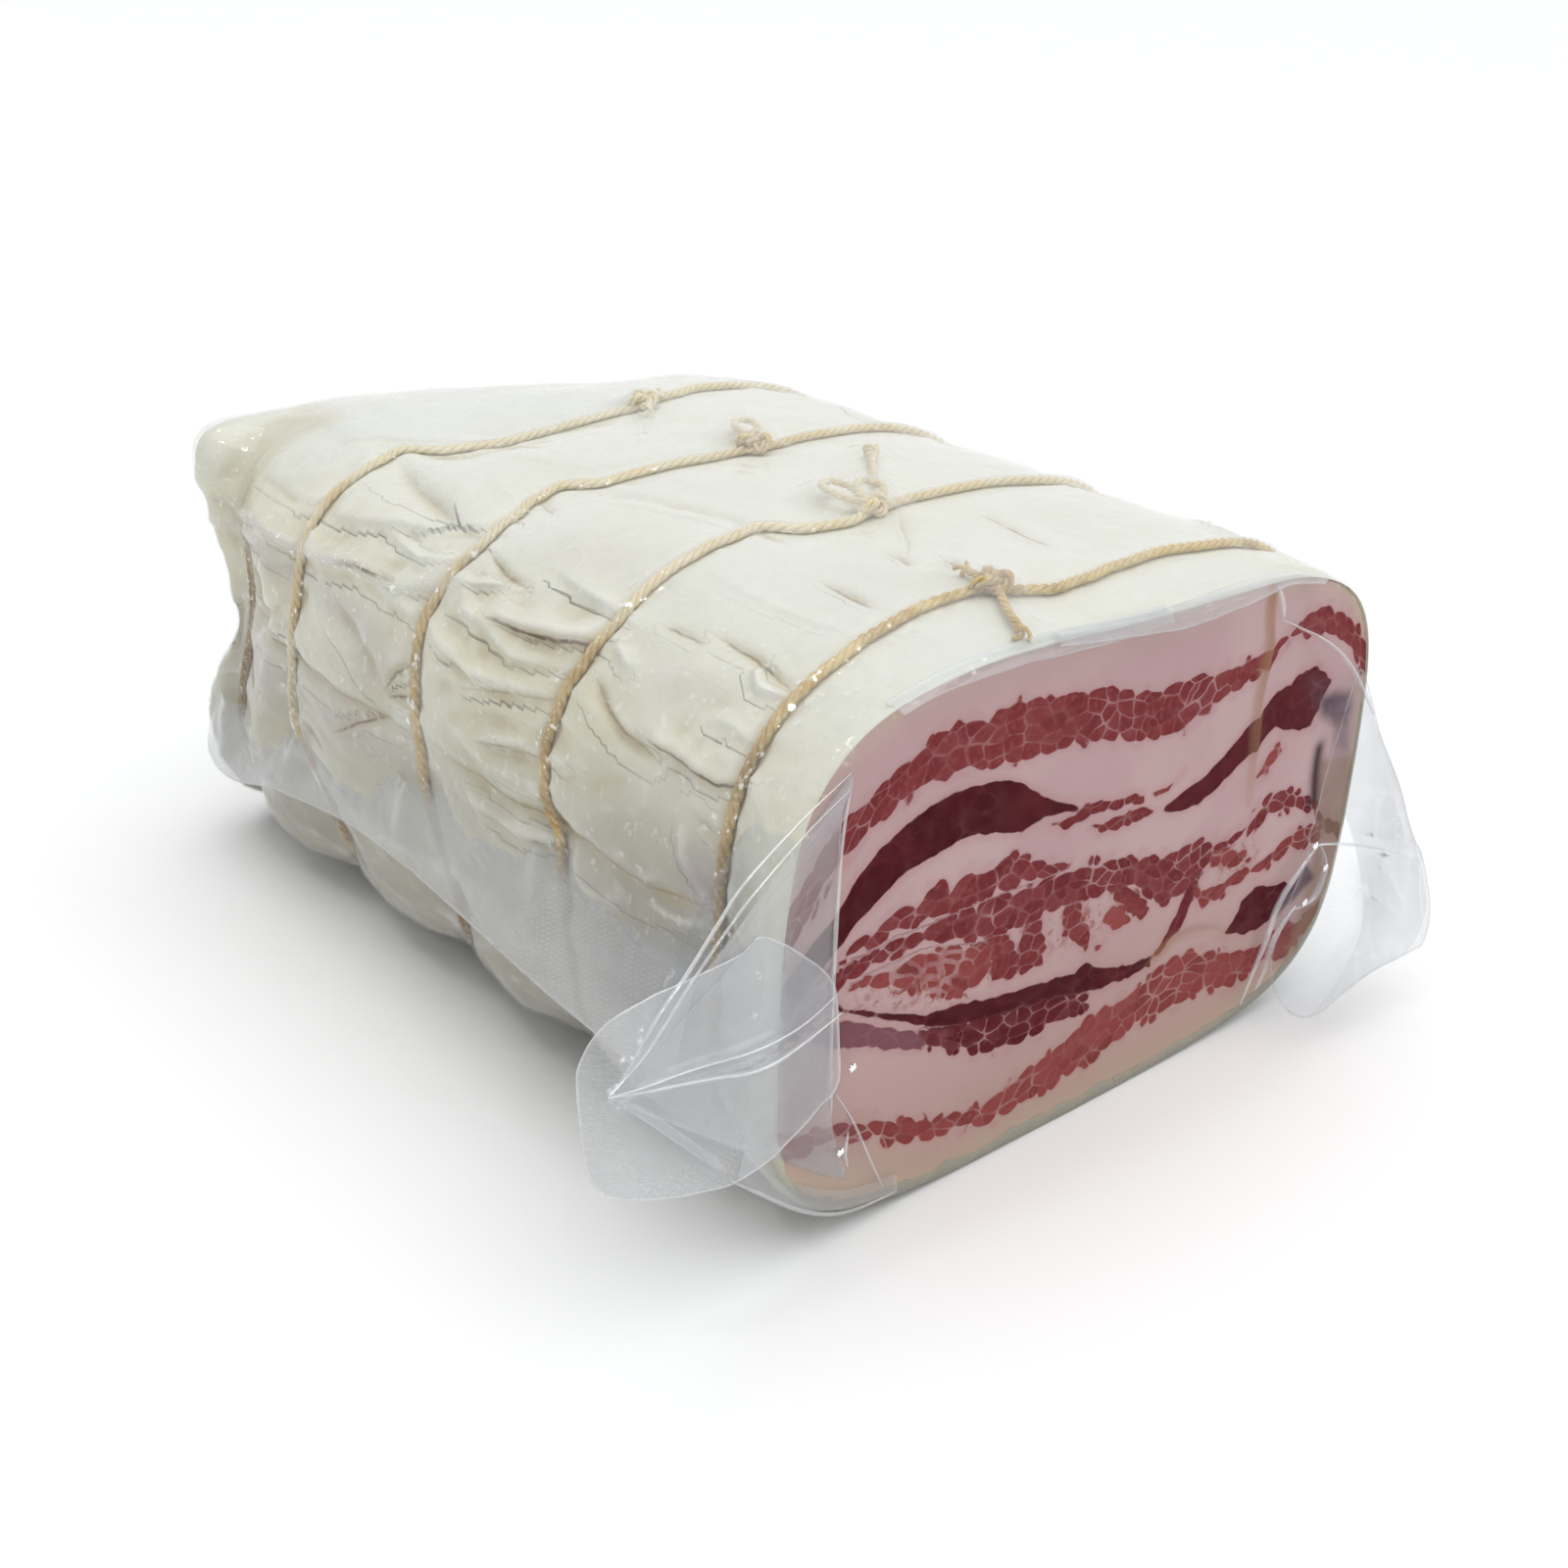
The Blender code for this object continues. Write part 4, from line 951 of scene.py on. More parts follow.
# Folds of the face: route of (x, z), width, height and how tan the line is
FACE_FOLDS = [
    ([(42, 106), (42.6, 100), (44.4, 93), (43.2, 82), (44.5, 70), (46, 58)], 1.8, 1.1, 1.0),
    ([(21, 29), (27, 31.4), (33, 31.2), (39, 29.4), (45, 26)], 1.0, -0.7, 0.55),
    ([(46, 100), (56, 92), (64, 84), (70, 74)], 2.4, 0.6, 0.0),
]
# Bruised and tanned places near the right edge: strength, softness and outline of (x, z)
BRUISES = [
    (0.1, 3.0, [(57.4, 83.2), (65.2, 82.2), (75.2, 78.9), (80.1, 74.3), (81.8, 65.8), (81.6, 58.8),
     (74.4, 61.2), (69.7, 65.5), (64.6, 71.4), (60.2, 77.7)]),
    (0.85, 1.8, [(65.4, 76.4), (70.8, 76.8), (77.1, 74.8), (79.0, 70.7), (77.8, 67.3), (72.4, 68.7),
     (67.3, 71.8)]),
    (0.5, 1.8, [(73.1, 68.5), (78.6, 67.1), (80.5, 60.3), (74.4, 61.2)]),
    (1.0, 1.0, [(71.6, 35.2), (75.9, 30.1), (69.1, 26.6), (61.8, 24.1), (64.8, 29.5)]),
]
TANNED = [
    (0.85, 1.8, [(69.5, 60.9), (81.6, 58.8), (82.2, 51.5), (79.2, 46.3), (73.2, 45.7), (70.0, 54.9)]),
    (0.7, 2.0, [(73, 46), (84, 60), (84, 40), (80, 20), (72, 6), (66, 4), (72, 18), (74, 34)]),
]
# A slit near the right edge, painted near black as the shade inside it, as (x, z)
DEEP_SLIT = [(68.8, 63.6), (69.0, 57.6), (70.3, 51.0)]


def streak_shape(x, z, upper_edge, lower_edge):
    """Signed distance inside a streak, with places along and across it."""
    top_x, top_z = np.array(upper_edge, float).T
    low_x, low_z = np.array(lower_edge, float).T
    line = np.arange(-86, 86.01, 0.25)
    upper = np.interp(line, top_x, top_z)
    lower = np.interp(line, low_x, low_z)
    window = np.hanning(9) / np.hanning(9).sum()
    pad = len(window) // 2
    upper = np.convolve(np.pad(upper, pad, "edge"), window, "valid")
    lower = np.convolve(np.pad(lower, pad, "edge"), window, "valid")
    middle = (upper + lower) / 2
    steep_up = np.hypot(1, np.gradient(upper, line))
    steep_low = np.hypot(1, np.gradient(lower, line))
    run = np.cumsum(np.hypot(1, np.gradient(middle, line))) * (line[1] - line[0])
    gap = np.minimum((np.interp(x, line, upper) - z) / np.interp(x, line, steep_up),
                     (z - np.interp(x, line, lower)) / np.interp(x, line, steep_low))
    ends = np.minimum(x - max(top_x[0], low_x[0]), min(top_x[-1], low_x[-1]) - x)
    return np.minimum(gap, ends), np.interp(x, line, run), z - np.interp(x, line, middle)


def cut_face(mat):
    s_row = np.sort(np.arange(FACE_AROUND) * ROUND / FACE_AROUND)
    edge = skin(0 * s_row + 0.4, s_row, 0.5)
    middle = np.array([0.0, 0.0, MID_Z])
    shares = np.linspace(1.0, 0.008, FACE_RINGS)[:, None, None]
    grid = middle + (edge[None] - middle) * shares
    grid[..., 1] = 0.0
    x, z = grid[..., 0], grid[..., 2]
    lean = np.full(x.shape, -30.0)
    looks = {key: np.zeros(x.shape) for key in LOOKS}
    weight = np.zeros(x.shape)
    bundle = np.zeros(x.shape + (3,))
    for index, shape in enumerate(STREAKS + PIECES):
        *edges, shape_looks = shape
        if len(edges) == 2:
            depth, along, across = streak_shape(x, z, *edges)
        else:
            depth = inside(x, z, edges[0])
            along, across = x, z
        share = np.exp(np.clip(depth, -12, 3) * 1.6)
        weight += share
        for key, value in zip(LOOKS, shape_looks):
            looks[key] += share * value
        best = depth > lean
        lean = np.where(best, depth, lean)
        bundle[..., 0] = np.where(best, along / BUNDLE_LONG + 17.3 * index, bundle[..., 0])
        bundle[..., 1] = np.where(best, across / BUNDLE_WIDE + 5.7 * index, bundle[..., 1])
    looks = {key: value / weight for key, value in looks.items()}
    pores = sum(np.exp(-((x - cx) / rx) ** 2 - ((z - cz) / rz) ** 2) for cx, cz, rx, rz in PORES)
    to_edge = np.linalg.norm(edge - middle, axis=-1) * (1 - shares[..., 0])
    low = smooth_step(-z, -30, -2)
    rim = np.exp(-to_edge / 2.2) * 0.9 + 0.6 * low * np.exp(-to_edge / 8.0)
    rim = np.clip(rim + 0.8 * low * smooth_step(-x, 40, 66) * np.exp(-to_edge / 16.0), 0, 1)
    bruise, tanned = 0 * x, 0 * x
    for strength, reach, outline in BRUISES:
        bruise += strength * smooth_step(inside(x, z, outline), -reach, reach)
    for strength, reach, outline in TANNED:
        tanned = np.maximum(tanned, strength * smooth_step(inside(x, z, outline), -reach, reach))
    # Painted shade of the slit, strongest along its middle line
    deep = 0.97 * np.exp(-(route_distance(x, z, DEEP_SLIT)[0] / 1.9) ** 2)
    high = -0.25 * smooth_step(lean, -0.4, 0.8) * np.clip(looks["cobbled"], 0, 1)
    high += 0.35 * grain(grid, 26, 4.0) + 0.10 * grain(grid, 4.5, 9.0)
    line, line_tan = np.full(x.shape, 9.0), np.zeros(x.shape)
    for route, wide, tall, tan in FACE_FOLDS:
        gap, along = route_distance(x, z, route)
        steep = np.where(gap > 0, wide, wide * 0.4)
        taper = np.sin(np.pi * np.clip(along * 0.96 + 0.03, 0, 1)) ** 0.5
        high += tall * taper * np.exp(-np.abs(gap / steep) ** 1.5)
        closer = (np.abs(gap) < np.abs(line)) & (tan > 0)
        line = np.where(closer, gap, line)
        line_tan = np.where(closer, tan * (1 - 0.75 * along), line_tan)
    grid[..., 1] = -high * smooth_step(to_edge, 0.4, 3.0)
    back = [edge * [1, 0, 1] + [0, 1.3, 0]]
    full = np.concatenate([np.array(back), grid])
    points, faces = closed_loft(full, [(0, 1.3, MID_Z), (0, grid[-1, 0, 1], MID_Z)])
    faces = [face[::-1] for face in faces]
    values = {"lean": lean, "pores": np.clip(pores, 0, 1), "rim": rim, "bruise": np.clip(bruise, 0, 1),
              "tanned": tanned, "deep": deep, "line": line, "line_tan": line_tan,
              "low": smooth_step(-z, -60, -10), **looks}
    values = {key: np.concatenate([value[:1], value]).ravel() for key, value in values.items()}
    values = {key: np.append(value, [value[0], value[-1]]) for key, value in values.items()}
    bundle = np.concatenate([bundle[:1], bundle]).reshape(-1, 3)
    values["bundle"] = np.vstack([bundle, bundle[:1], bundle[-1:]])
    return make_piece("cut_face", points, faces, mat, values)


# Twine

# Radius of a strand, length of one twist, count of strands, and sides of a strand's section
STRAND = 0.55
LAY = 8.0
STRANDS = 3
STRAND_SIDES = 7
# How deep the last tie lies under the cloudy film over the top
LAST_TIE_SUNK = 2.6
# Length of a step along a tie, and the underside place where its ring starts
TIE_STEP = 0.95
TIE_START = -119


def strand_tube(centre, radius, closed, sides=STRAND_SIDES):
    """Points and faces of a round strand along a line of points."""
    if closed:
        ahead = unit(np.roll(centre, -1, 0) - np.roll(centre, 1, 0))
    else:
        ahead = unit(np.gradient(centre, axis=0))
    side = np.zeros_like(centre)
    side[0] = unit(np.cross(ahead[0], (0.31, 0.87, 0.38)))
    for i in range(1, len(centre)):
        side[i] = unit(side[i - 1] - ahead[i] * np.dot(side[i - 1], ahead[i]))
    up = np.cross(ahead, side)
    turn = np.arange(sides) * 2 * np.pi / sides
    radius = np.reshape(radius, (-1, 1, 1)) * np.ones((len(centre), 1, 1))
    across, tall = side[:, None] * np.cos(turn)[:, None], up[:, None] * np.sin(turn)[:, None]
    ring = centre[:, None] + radius * (across + tall)
    if closed:
        count = len(centre)
        faces = grid_faces(count, sides, True)
        last = (count - 1) * sides
        for j in range(sides):
            k = (j + 1) % sides
            faces.append((last + j, last + k, k, j))
        return ring.reshape(-1, 3), faces
    return closed_loft(ring, [centre[0], centre[-1]])


def rope(path, away, closed, flat=TWINE_FLAT, lay=LAY, strand=STRAND, fray=None):
    """Twisted strands along a path; away is the direction in which the rope is pressed flat."""
    leg = np.linalg.norm(np.diff(np.vstack([path, path[:1]]) if closed else path, axis=0), axis=1)
    run = np.concatenate([[0], np.cumsum(leg)])
    turns = max(1, round(run[-1] / lay)) if closed else run[-1] / lay
    ahead = unit(np.roll(path, -1, 0) - np.roll(path, 1, 0)) if closed else unit(np.gradient(path, axis=0))
    side = unit(np.cross(ahead, away))
    up = np.cross(side, ahead)
    phase = 2 * np.pi * turns * run[: len(path)] / run[-1]
    reach = strand * 1.16
    spread = 1.0 if fray is None else fray[:, None]
    parts = []
    for k in range(STRANDS):
        turn = phase + 2 * np.pi * k / STRANDS
        centre = path + (side * np.cos(turn)[:, None] + up * flat * np.sin(turn)[:, None]) * reach * spread
        parts.append(strand_tube(centre, strand, closed))
    return parts


def tie_path(index):
    """The middle line of a tie, just clear of the casing in its groove."""
    count = int(ROUND / TIE_STEP)
    s = np.arange(count) * ROUND / count + TIE_START
    places = np.stack([np.full(count, TIES[index]), s], 1)
    sunk = LAST_TIE_SUNK * buried(s) if index == len(TIES) - 1 else 0 * s
    path, away = on_skin(places, CLEARANCE + TWINE * TWINE_FLAT * 0.36 - sunk)
    away[:, 1] = 0
    away = unit(away)
    smooth = np.array([1, 2, 3, 2, 1]) / 9
    for axis in range(3):
        ring = np.concatenate([path[-2:, axis], path[:, axis], path[:2, axis]])
        path[:, axis] = np.convolve(ring, smooth, "valid")
    return path, away


def top_at(x, y):
    """Height of the block's top at places."""
    s = np.asarray(x, float) + ROUND / 4
    for _ in range(4):
        s = s + (x - skin(y, s)[..., 0])
    return skin(y, s)[..., 2]


# How wet each tie looks on its sides, from the front one back
WET = [0.88, 0.56, 0.46, 0.24, 1.0]
# How wet each one looks over the top, and how wet its knot is
WET_TOP = [0.40, 0.12, 0.12, 0.06, 0.05]
WET_KNOT = [0.25, 0.05, 0.18, 0.1, 0.0]

# Knots: tie, s of the knot, size of the lump, free ends and loops as (x, y, lift) from the knot
KNOTS = [
    {"tie": 0, "s": 98.6, "size": (5.0, 3.6, 1.6), "turn": 0.3,
     "ends": [[(1, 1, 1.6), (-2, -4, 1.0), (-5, -9, 0.7), (-7, -13.5, 0.7), (-9, -16.4, 0.6)],
              [(-1, 1, 1.2), (0.6, 5.6, 0.8), (1.0, 9.0, 0.6)]],
     "loops": []},
    {"tie": 1, "s": 114.6, "size": (4.4, 3.4, 2.0), "turn": 1.0,
     "ends": [[(1, 0, 2.4), (7, 5, 1.6), (14, 14, 1.0), (22, 23, 0.8), (29, 31, 0.7)]],
     "loops": [[(-1, 1, 2.2), (-4, 5, 2.6), (-3.6, 11, 2.6), (0.6, 13.4, 2.4), (2.4, 9, 2.2), (0.6, 3, 2.2)],
               [(0, 1, 2.4), (1.4, 6, 3.0), (6, 9, 3.0), (8.2, 5.4, 2.6), (5, 1.6, 2.2), (1, 0, 2.2)]]},
    {"tie": 2, "s": 124.6, "size": (4.0, 3.8, 2.2), "turn": 2.1,
     "ends": [[(2, 4, 1.8), (1, 0, 1.4), (-3, -2, 1.0)]],
     "loops": [[(0, 0, 2.2), (0.6, 7, 2.4), (5.0, 13, 2.2), (8.4, 12, 2.0), (7.0, 7.6, 2.0), (2, 3, 2.0)]]},
    {"tie": 3, "s": 127.4, "size": (4.2, 3.2, 1.8), "turn": 0.6,
     "ends": [[(1, -1, 1.6), (-2, -5, 1.0), (-6, -9, 0.7)], [(1, 0, 1.6), (5, 2, 1.2), (8, 3, 0.8)]],
     "loops": []},
]


def knot_parts(knot):
    """Strands of a knot with its free ends and loops, laid on the block's top."""
    centre, _ = on_skin([(TIES[knot["tie"]], knot["s"])], 0.0)
    centre = centre[0] + (0, 0, 2.6)
    wide, deep, tall = knot["size"]
    t = np.linspace(0, 2 * np.pi, 72, endpoint=False)
    x = (np.sin(t) + 2 * np.sin(2 * t)) * wide / 3.3
    y = (np.cos(t) - 2 * np.cos(2 * t)) * deep / 3.3
    c, s = math.cos(knot["turn"]), math.sin(knot["turn"])
    path = centre + np.stack([x * c - y * s, x * s + y * c, -np.sin(3 * t) * tall * 0.62], 1)
    parts = rope(path, np.tile((0.0, 0.0, 1.0), (len(t), 1)), True, 1.0, 6.0, 0.46)
    for route in knot["ends"] + knot["loops"]:
        spots = curve(route, 46)
        flat = spots[:, :2] + centre[:2]
        height = top_at(flat[:, 0], flat[:, 1]) + 0.9 + spots[:, 2]
        line = np.column_stack([flat, height])
        away = np.tile((0.0, 0.0, 1.0), (len(line), 1))
        share = np.linspace(0, 1, len(line))
        fray = 1 + 2.6 * smooth_step(share, 0.78, 1.0) if route in knot["ends"] else None
        parts += rope(line, away, False, 0.8, 5.6, 0.42, fray)
    return parts


def over_knots(x, y):
    """How far the film stands off the casing over the knots, their loops and their ends."""
    high = np.zeros(np.shape(x))
    for knot in KNOTS:
        centre = on_skin([(TIES[knot["tie"]], knot["s"])])[0][0]
        strands = knot["ends"] + knot["loops"]
        spots = [(dx, dy, lift, 4.6) for route in strands for dx, dy, lift in curve(route, 11)]
        for dx, dy, lift, reach in spots + [(0, 0, 3.0, 6.0)]:
            gap = np.hypot(x - centre[0] - dx, y - centre[1] - dy)
            high = np.maximum(high, (lift + 1.9) * np.exp(-(gap / reach) ** 2))
    return high


def twines(mat):
    for index in range(len(TIES)):
        path, away = tie_path(index)
        parts = rope(path, away, True)
        for knot in KNOTS:
            if knot["tie"] == index:
                parts += knot_parts(knot)
        points, faces = join_meshes(parts)
        side = 1 - smooth_step(points[:, 2], 84, 109)
        # Painted shade: low darkens the twine's colour towards the bottom.
        low = 1 - smooth_step(points[:, 2], 22, 62)
        knot = np.zeros(len(points))
        for at in KNOTS[index: index + 1]:
            centre = on_skin([(TIES[index], at["s"])])[0][0]
            knot = np.exp(-(np.linalg.norm(points - centre, axis=1) / 7) ** 2)
        stain_and_shade = WET[index] * side + WET_TOP[index] * (1 - side) + WET_KNOT[index] * knot
        stain_and_shade += 0.55 * low + (0.12 + 0.25 * side) * grain(points, 13, 2.0)
        piece = make_piece(f"twine_{index + 1}", points, faces, mat, {"stain_and_shade": np.clip(stain_and_shade, 0, 1)})
        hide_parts(f"tie_{index + 1}")


# Pouch film

FILM_AROUND, FILM_SPARE = 336, 104
FILM_STEP = 1.55
FILM_GAP = 0.5
OVER_TWINE = 1.9

# Cloudy panels of the film, partly slack film and partly painted glare on the top: outline of (y, s) places
# and how cloudy
SLACK_AND_GLARE_PANELS = [
    ([(176, 66), (182, 58), (214, 60), (222, 66), (222, 160), (186, 160), (170, 134), (166, 118),
     (167, 90)], 0.62),
    ([(124, 86), (122, 110), (124, 128), (160, 124), (160, 90), (168, 72), (150, 76)], 0.3),
    ([(74, 96), (70, 116), (100, 122), (116, 122), (114, 86), (92, 90)], 0.1),
    ([(176, 58), (220, 58), (220, 38), (176, 36)], 0.1),
    ([(196, 20), (196, 70), (214, 70), (214, 20)], 0.62),
]

# Cloudy places of the film over the cut face: outline of (x, z) places and how cloudy
VEILS = [
    ([(-80, 30), (-69.6, 33.6), (-64.8, 25.6), (-60, 15.4), (-54, 3), (-72, 2)], 0.07),
    ([(57.4, 83.2), (65.2, 82.2), (75.2, 78.9), (80.1, 74.3), (81.6, 58.8), (69.7, 65.5), (64.6, 71.4),
     (60.2, 77.7)], 0.04),
]

# The roll of film that runs back along the left shoulder, as (y, s) places
FILM_RIDGE = [
    (108, 38), (118, 39.6), (130, 34), (143, 35), (157, 33), (172, 32), (188, 32.6), (203, 31.2), (214, 36),
]


def film_haze(v, s):
    haze = 0.05 + 0 * v
    # Whiter film where the top shows glare: painted reflection, partly slack film.
    for outline, cloud in SLACK_AND_GLARE_PANELS:
        haze = np.maximum(haze, cloud * smooth_step(inside(v, s, outline), -1.0, 5.0))
    near_tie = tie_distance(v)
    haze = haze + 0.05 * np.exp(-(near_tie / 4) ** 2)
    return haze + 0.12 * np.exp(-((s + 2) / 8) ** 2) + 0.10 * smooth_step(-s, 10, 60)


# Rings of the film over the cut face and over the back, and its place in front of the face
FACE_FILM_RINGS = 56
BACK_FILM_RINGS = 30
FACE_FILM_Y = -1.1
# How far the film may bridge a narrow crease of the casing
BRIDGE = 0.25


def film_skin(mat):
    s_row = round_places(FILM_AROUND, FILM_SPARE)
    v = np.concatenate([[-0.6, 0.2, 1.0], np.arange(2.4, LENGTH - 4, FILM_STEP),
                        [LENGTH - 2.5, LENGTH - 1, LENGTH]])
    inset = between([(-0.6, 1.4), (0.2, 0.4), (1.0, 0.0), (216, 0.0), (220.5, 1.0), (222, 3.2)], v)
    v_grid, s_grid = np.meshgrid(v, s_row, indexing="ij")
    grid = skin(v_grid, s_grid, inset[:, None])
    away = outward(grid)
    high, _ = relief(v_grid, s_grid, grid)
    high = np.maximum(soften(high, 1), high - BRIDGE)
    tent = sum(OVER_TWINE * np.exp(-(np.abs(v_grid - tie) / 2.2) ** 2) for tie in TIES[:-1])
    tent += OVER_TWINE * np.exp(-(np.abs(v_grid - TIES[-1]) / 2.2) ** 2) * (1 - buried(s_grid))
    knots = over_knots(grid[..., 0], grid[..., 1]) * (grid[..., 2] > 90)
    tent = np.maximum(tent, knots)
    ripple = 0.10 * grain(grid, 5.0, 12.0) + 0.06 * grain(grid, 2.4, 15.0)
    gap, along = route_distance(v_grid, s_grid, FILM_RIDGE)
    ridge = np.exp(-np.abs(gap / 1.5) ** 1.6) * np.sin(np.pi * np.clip(0.1 + 0.86 * along, 0, 1)) ** 0.5
    corner = np.exp(-((s_grid - PULLED_CORNER) / 6) ** 2) * smooth_step(v_grid, 206, 221)
    grid = grid + away * (high + FILM_GAP + tent + ripple + 0.9 * ridge + 0.8 * corner)[..., None]
    grid[..., 2] = np.maximum(grid[..., 2], 0.02)
    haze = film_haze(v_grid, s_grid) + 0.42 * ridge + 0.12 * corner + 0.05 * knots
    near_tie = tie_distance(v_grid)
    shoulder = smooth_step(grid[..., 2], 34, 70) * (1 - smooth_step(grid[..., 2], 106, 114))
    glint = shoulder * (0.3 + 0.6 * np.exp(-((near_tie - 1.6) / 1.6) ** 2) + 0.7 * ridge)
    # Painted light: the cloudy film's tone whitens over the top.
    painted_top_light = smooth_step(s_grid, 52, 70)
    cream = smooth_step(v_grid, 192, 198) * (1 - smooth_step(s_grid, 60, 72)) * smooth_step(s_grid, -40, 20)
    middle = np.array([0.0, 0.0, MID_Z])
    front = []
    for share in np.linspace(0.03, 0.985, FACE_FILM_RINGS):
        ring = middle + (grid[0] - middle) * share
        ring[:, 1] = FACE_FILM_Y + 0.25 * grain(ring, 9.0, 3.0) + 0.10 * grain(ring, 3.5, 6.0)
        front.append(ring)
    back = []
    far = np.array([0.0, LENGTH + 1.2, MID_Z])
    for share in np.linspace(0.97, 0.03, BACK_FILM_RINGS):
        ring = far + (grid[-1] - far) * [share, share ** 3, share]
        ring[:, 1] += 1.4 * share * (1 - share) * round_noise(s_row, 8.0, 3.0) + 0.5
        back.append(ring)
    full = np.concatenate([np.array(front), grid, np.array(back)])
    points, faces = closed_loft(full, [(0, FACE_FILM_Y, MID_Z), (0, LENGTH + 1.7, MID_Z)])
    columns = len(s_row)
    front = np.array(front)
    veil = sum(cloud * smooth_step(inside(front[..., 0], front[..., 2], outline), -1.0, 1.5)
               for outline, cloud in VEILS)
    looks = (("haze", 0.003 + veil, haze, 0.14), ("dull", 0.88, 0.9 * (v_grid < 4), 0.0),
             ("glint", 0.0, glint, 0.0), ("painted_top_light", 0.0, painted_top_light, 0.6), ("cream", 0.0, cream, 0.0))
    values = {}
    for key, on_face, body, on_back in looks:
        rows = [np.zeros((len(front), columns)) + on_face, body, np.full((len(back), columns), on_back)]
        values[key] = np.append(np.concatenate(rows).ravel(), [np.min(on_face), on_back])
    piece = make_piece("film_skin", points, faces, mat, values)
    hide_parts("vacuum_pack")


def span(near, far, rows):
    """A grid of points straight across from one line to another, with the share of the way of each row."""
    share = np.linspace(0, 1, rows)[:, None, None]
    return near[None] * (1 - share) + far[None] * share, share


def sheet_piece(name, grid, thick, closed, mat, values):
    points, faces = thin_sheet(grid, thick, closed)
    values = {key: np.tile(np.asarray(value).ravel(), 2) for key, value in values.items()}
    return make_piece(name, points, faces, mat, values)


def fan_grid(middle, rim, rings, columns):
    """Rings of points from a middle point out to a smooth rim, and each point's distance to the rim."""
    edge = curve(rim, columns, closed=True)
    shares = np.linspace(0.004, 1.0, rings)[:, None, None]
    grid = np.array(middle) + (edge[None] - middle) * shares
    reach = np.linalg.norm(edge - middle, axis=1)
    return grid, reach[None] * (1 - shares[..., 0])


def add_folds(grid, folds, across):
    """Moves a grid along a direction by folds laid out in the (x, z) plane."""
    high = np.zeros(grid.shape[:2])
    for route, wide, tall in folds:
        gap, along = route_distance(grid[..., 0], grid[..., 2], route)
        taper = np.sin(np.pi * np.clip(0.04 + 0.92 * along, 0, 1)) ** 0.5
        high += tall * taper * np.exp(-np.abs(gap / wide) ** 1.3)
    return grid + high[..., None] * np.array(across, float)


# The front left corner of the pouch: its tip, the points of its tent, and its rim and folds
EAR_TIP = (-118.6, 0.2, 52.8)
TENT_AROUND = 168
TENT_ROWS = 64
BORDER_RIM = [
    (-122.0, 4.0, 55.0), (-121.7, 3.9, 58.1), (-120.0, 3.0, 62.6), (-117.9, 1.2, 66.4), (-114.5, 0.0, 68.4),
    (-110.2, -0.2, 69.2), (-104.9, -0.3, 69.3), (-97.9, -0.6, 70.0), (-92.2, -0.8, 70.8),
    (-88.9, -1.0, 72.8), (-83.3, -1.0, 69.4), (-78.7, -1.0, 65.4), (-74.0, -1.0, 60.8), (-71.5, -1.0, 55.9),
    (-70.1, -1.0, 45.4), (-69.6, -1.0, 36.9), (-72.3, -1.0, 33.5), (-76.7, -1.2, 30.6), (-81.2, -1.6, 28.8),
    (-85.6, -2.0, 27.2), (-93.7, -2.6, 26.6), (-102.5, -2.4, 28.2), (-108.1, -1.8, 29.5),
    (-115.8, -0.4, 32.0), (-119.5, 1.8, 34.5), (-121.0, 3.4, 40.6), (-121.8, 3.9, 48.4),
]
BORDER_FOLDS = [
    ([(-118.6, 53.4), (-107.6, 54.3), (-97.0, 52.9), (-85.7, 52.7), (-74.1, 56.5)], 1.0, 1.5),
    ([(-118.6, 53.0), (-106.3, 52.3), (-92.7, 49.1), (-80.6, 50.3), (-73.0, 52.3)], 0.9, 1.9),
    ([(-118.6, 52.8), (-109.8, 45.3), (-103.6, 38.6), (-95.5, 28.6)], 1.6, 1.4),
    ([(-117.4, 53.6), (-116.1, 57.3), (-114.6, 62.4), (-112.2, 68.0)], 2.2, 1.2),
    ([(-120.0, 53.0), (-120.6, 47.0), (-120.8, 40.0)], 2.4, 0.8),
    ([(-90.1, 71.8), (-88.4, 66.9), (-88.8, 62.2), (-89.4, 55.7)], 1.6, 0.9),
    ([(-72, 60), (-82, 56), (-90, 52)], 2.0, 0.6),
]
# Where the film of that corner catches the light: route and width
EAR_GLINTS = [
    ([(-118.6, 53.6), (-116.6, 57.3), (-115.0, 62.4), (-112.6, 67.6)], 1.3),
    ([(-90.1, 72.0), (-88.6, 66.9), (-88.8, 62.2), (-89.2, 57.0)], 0.7),
]


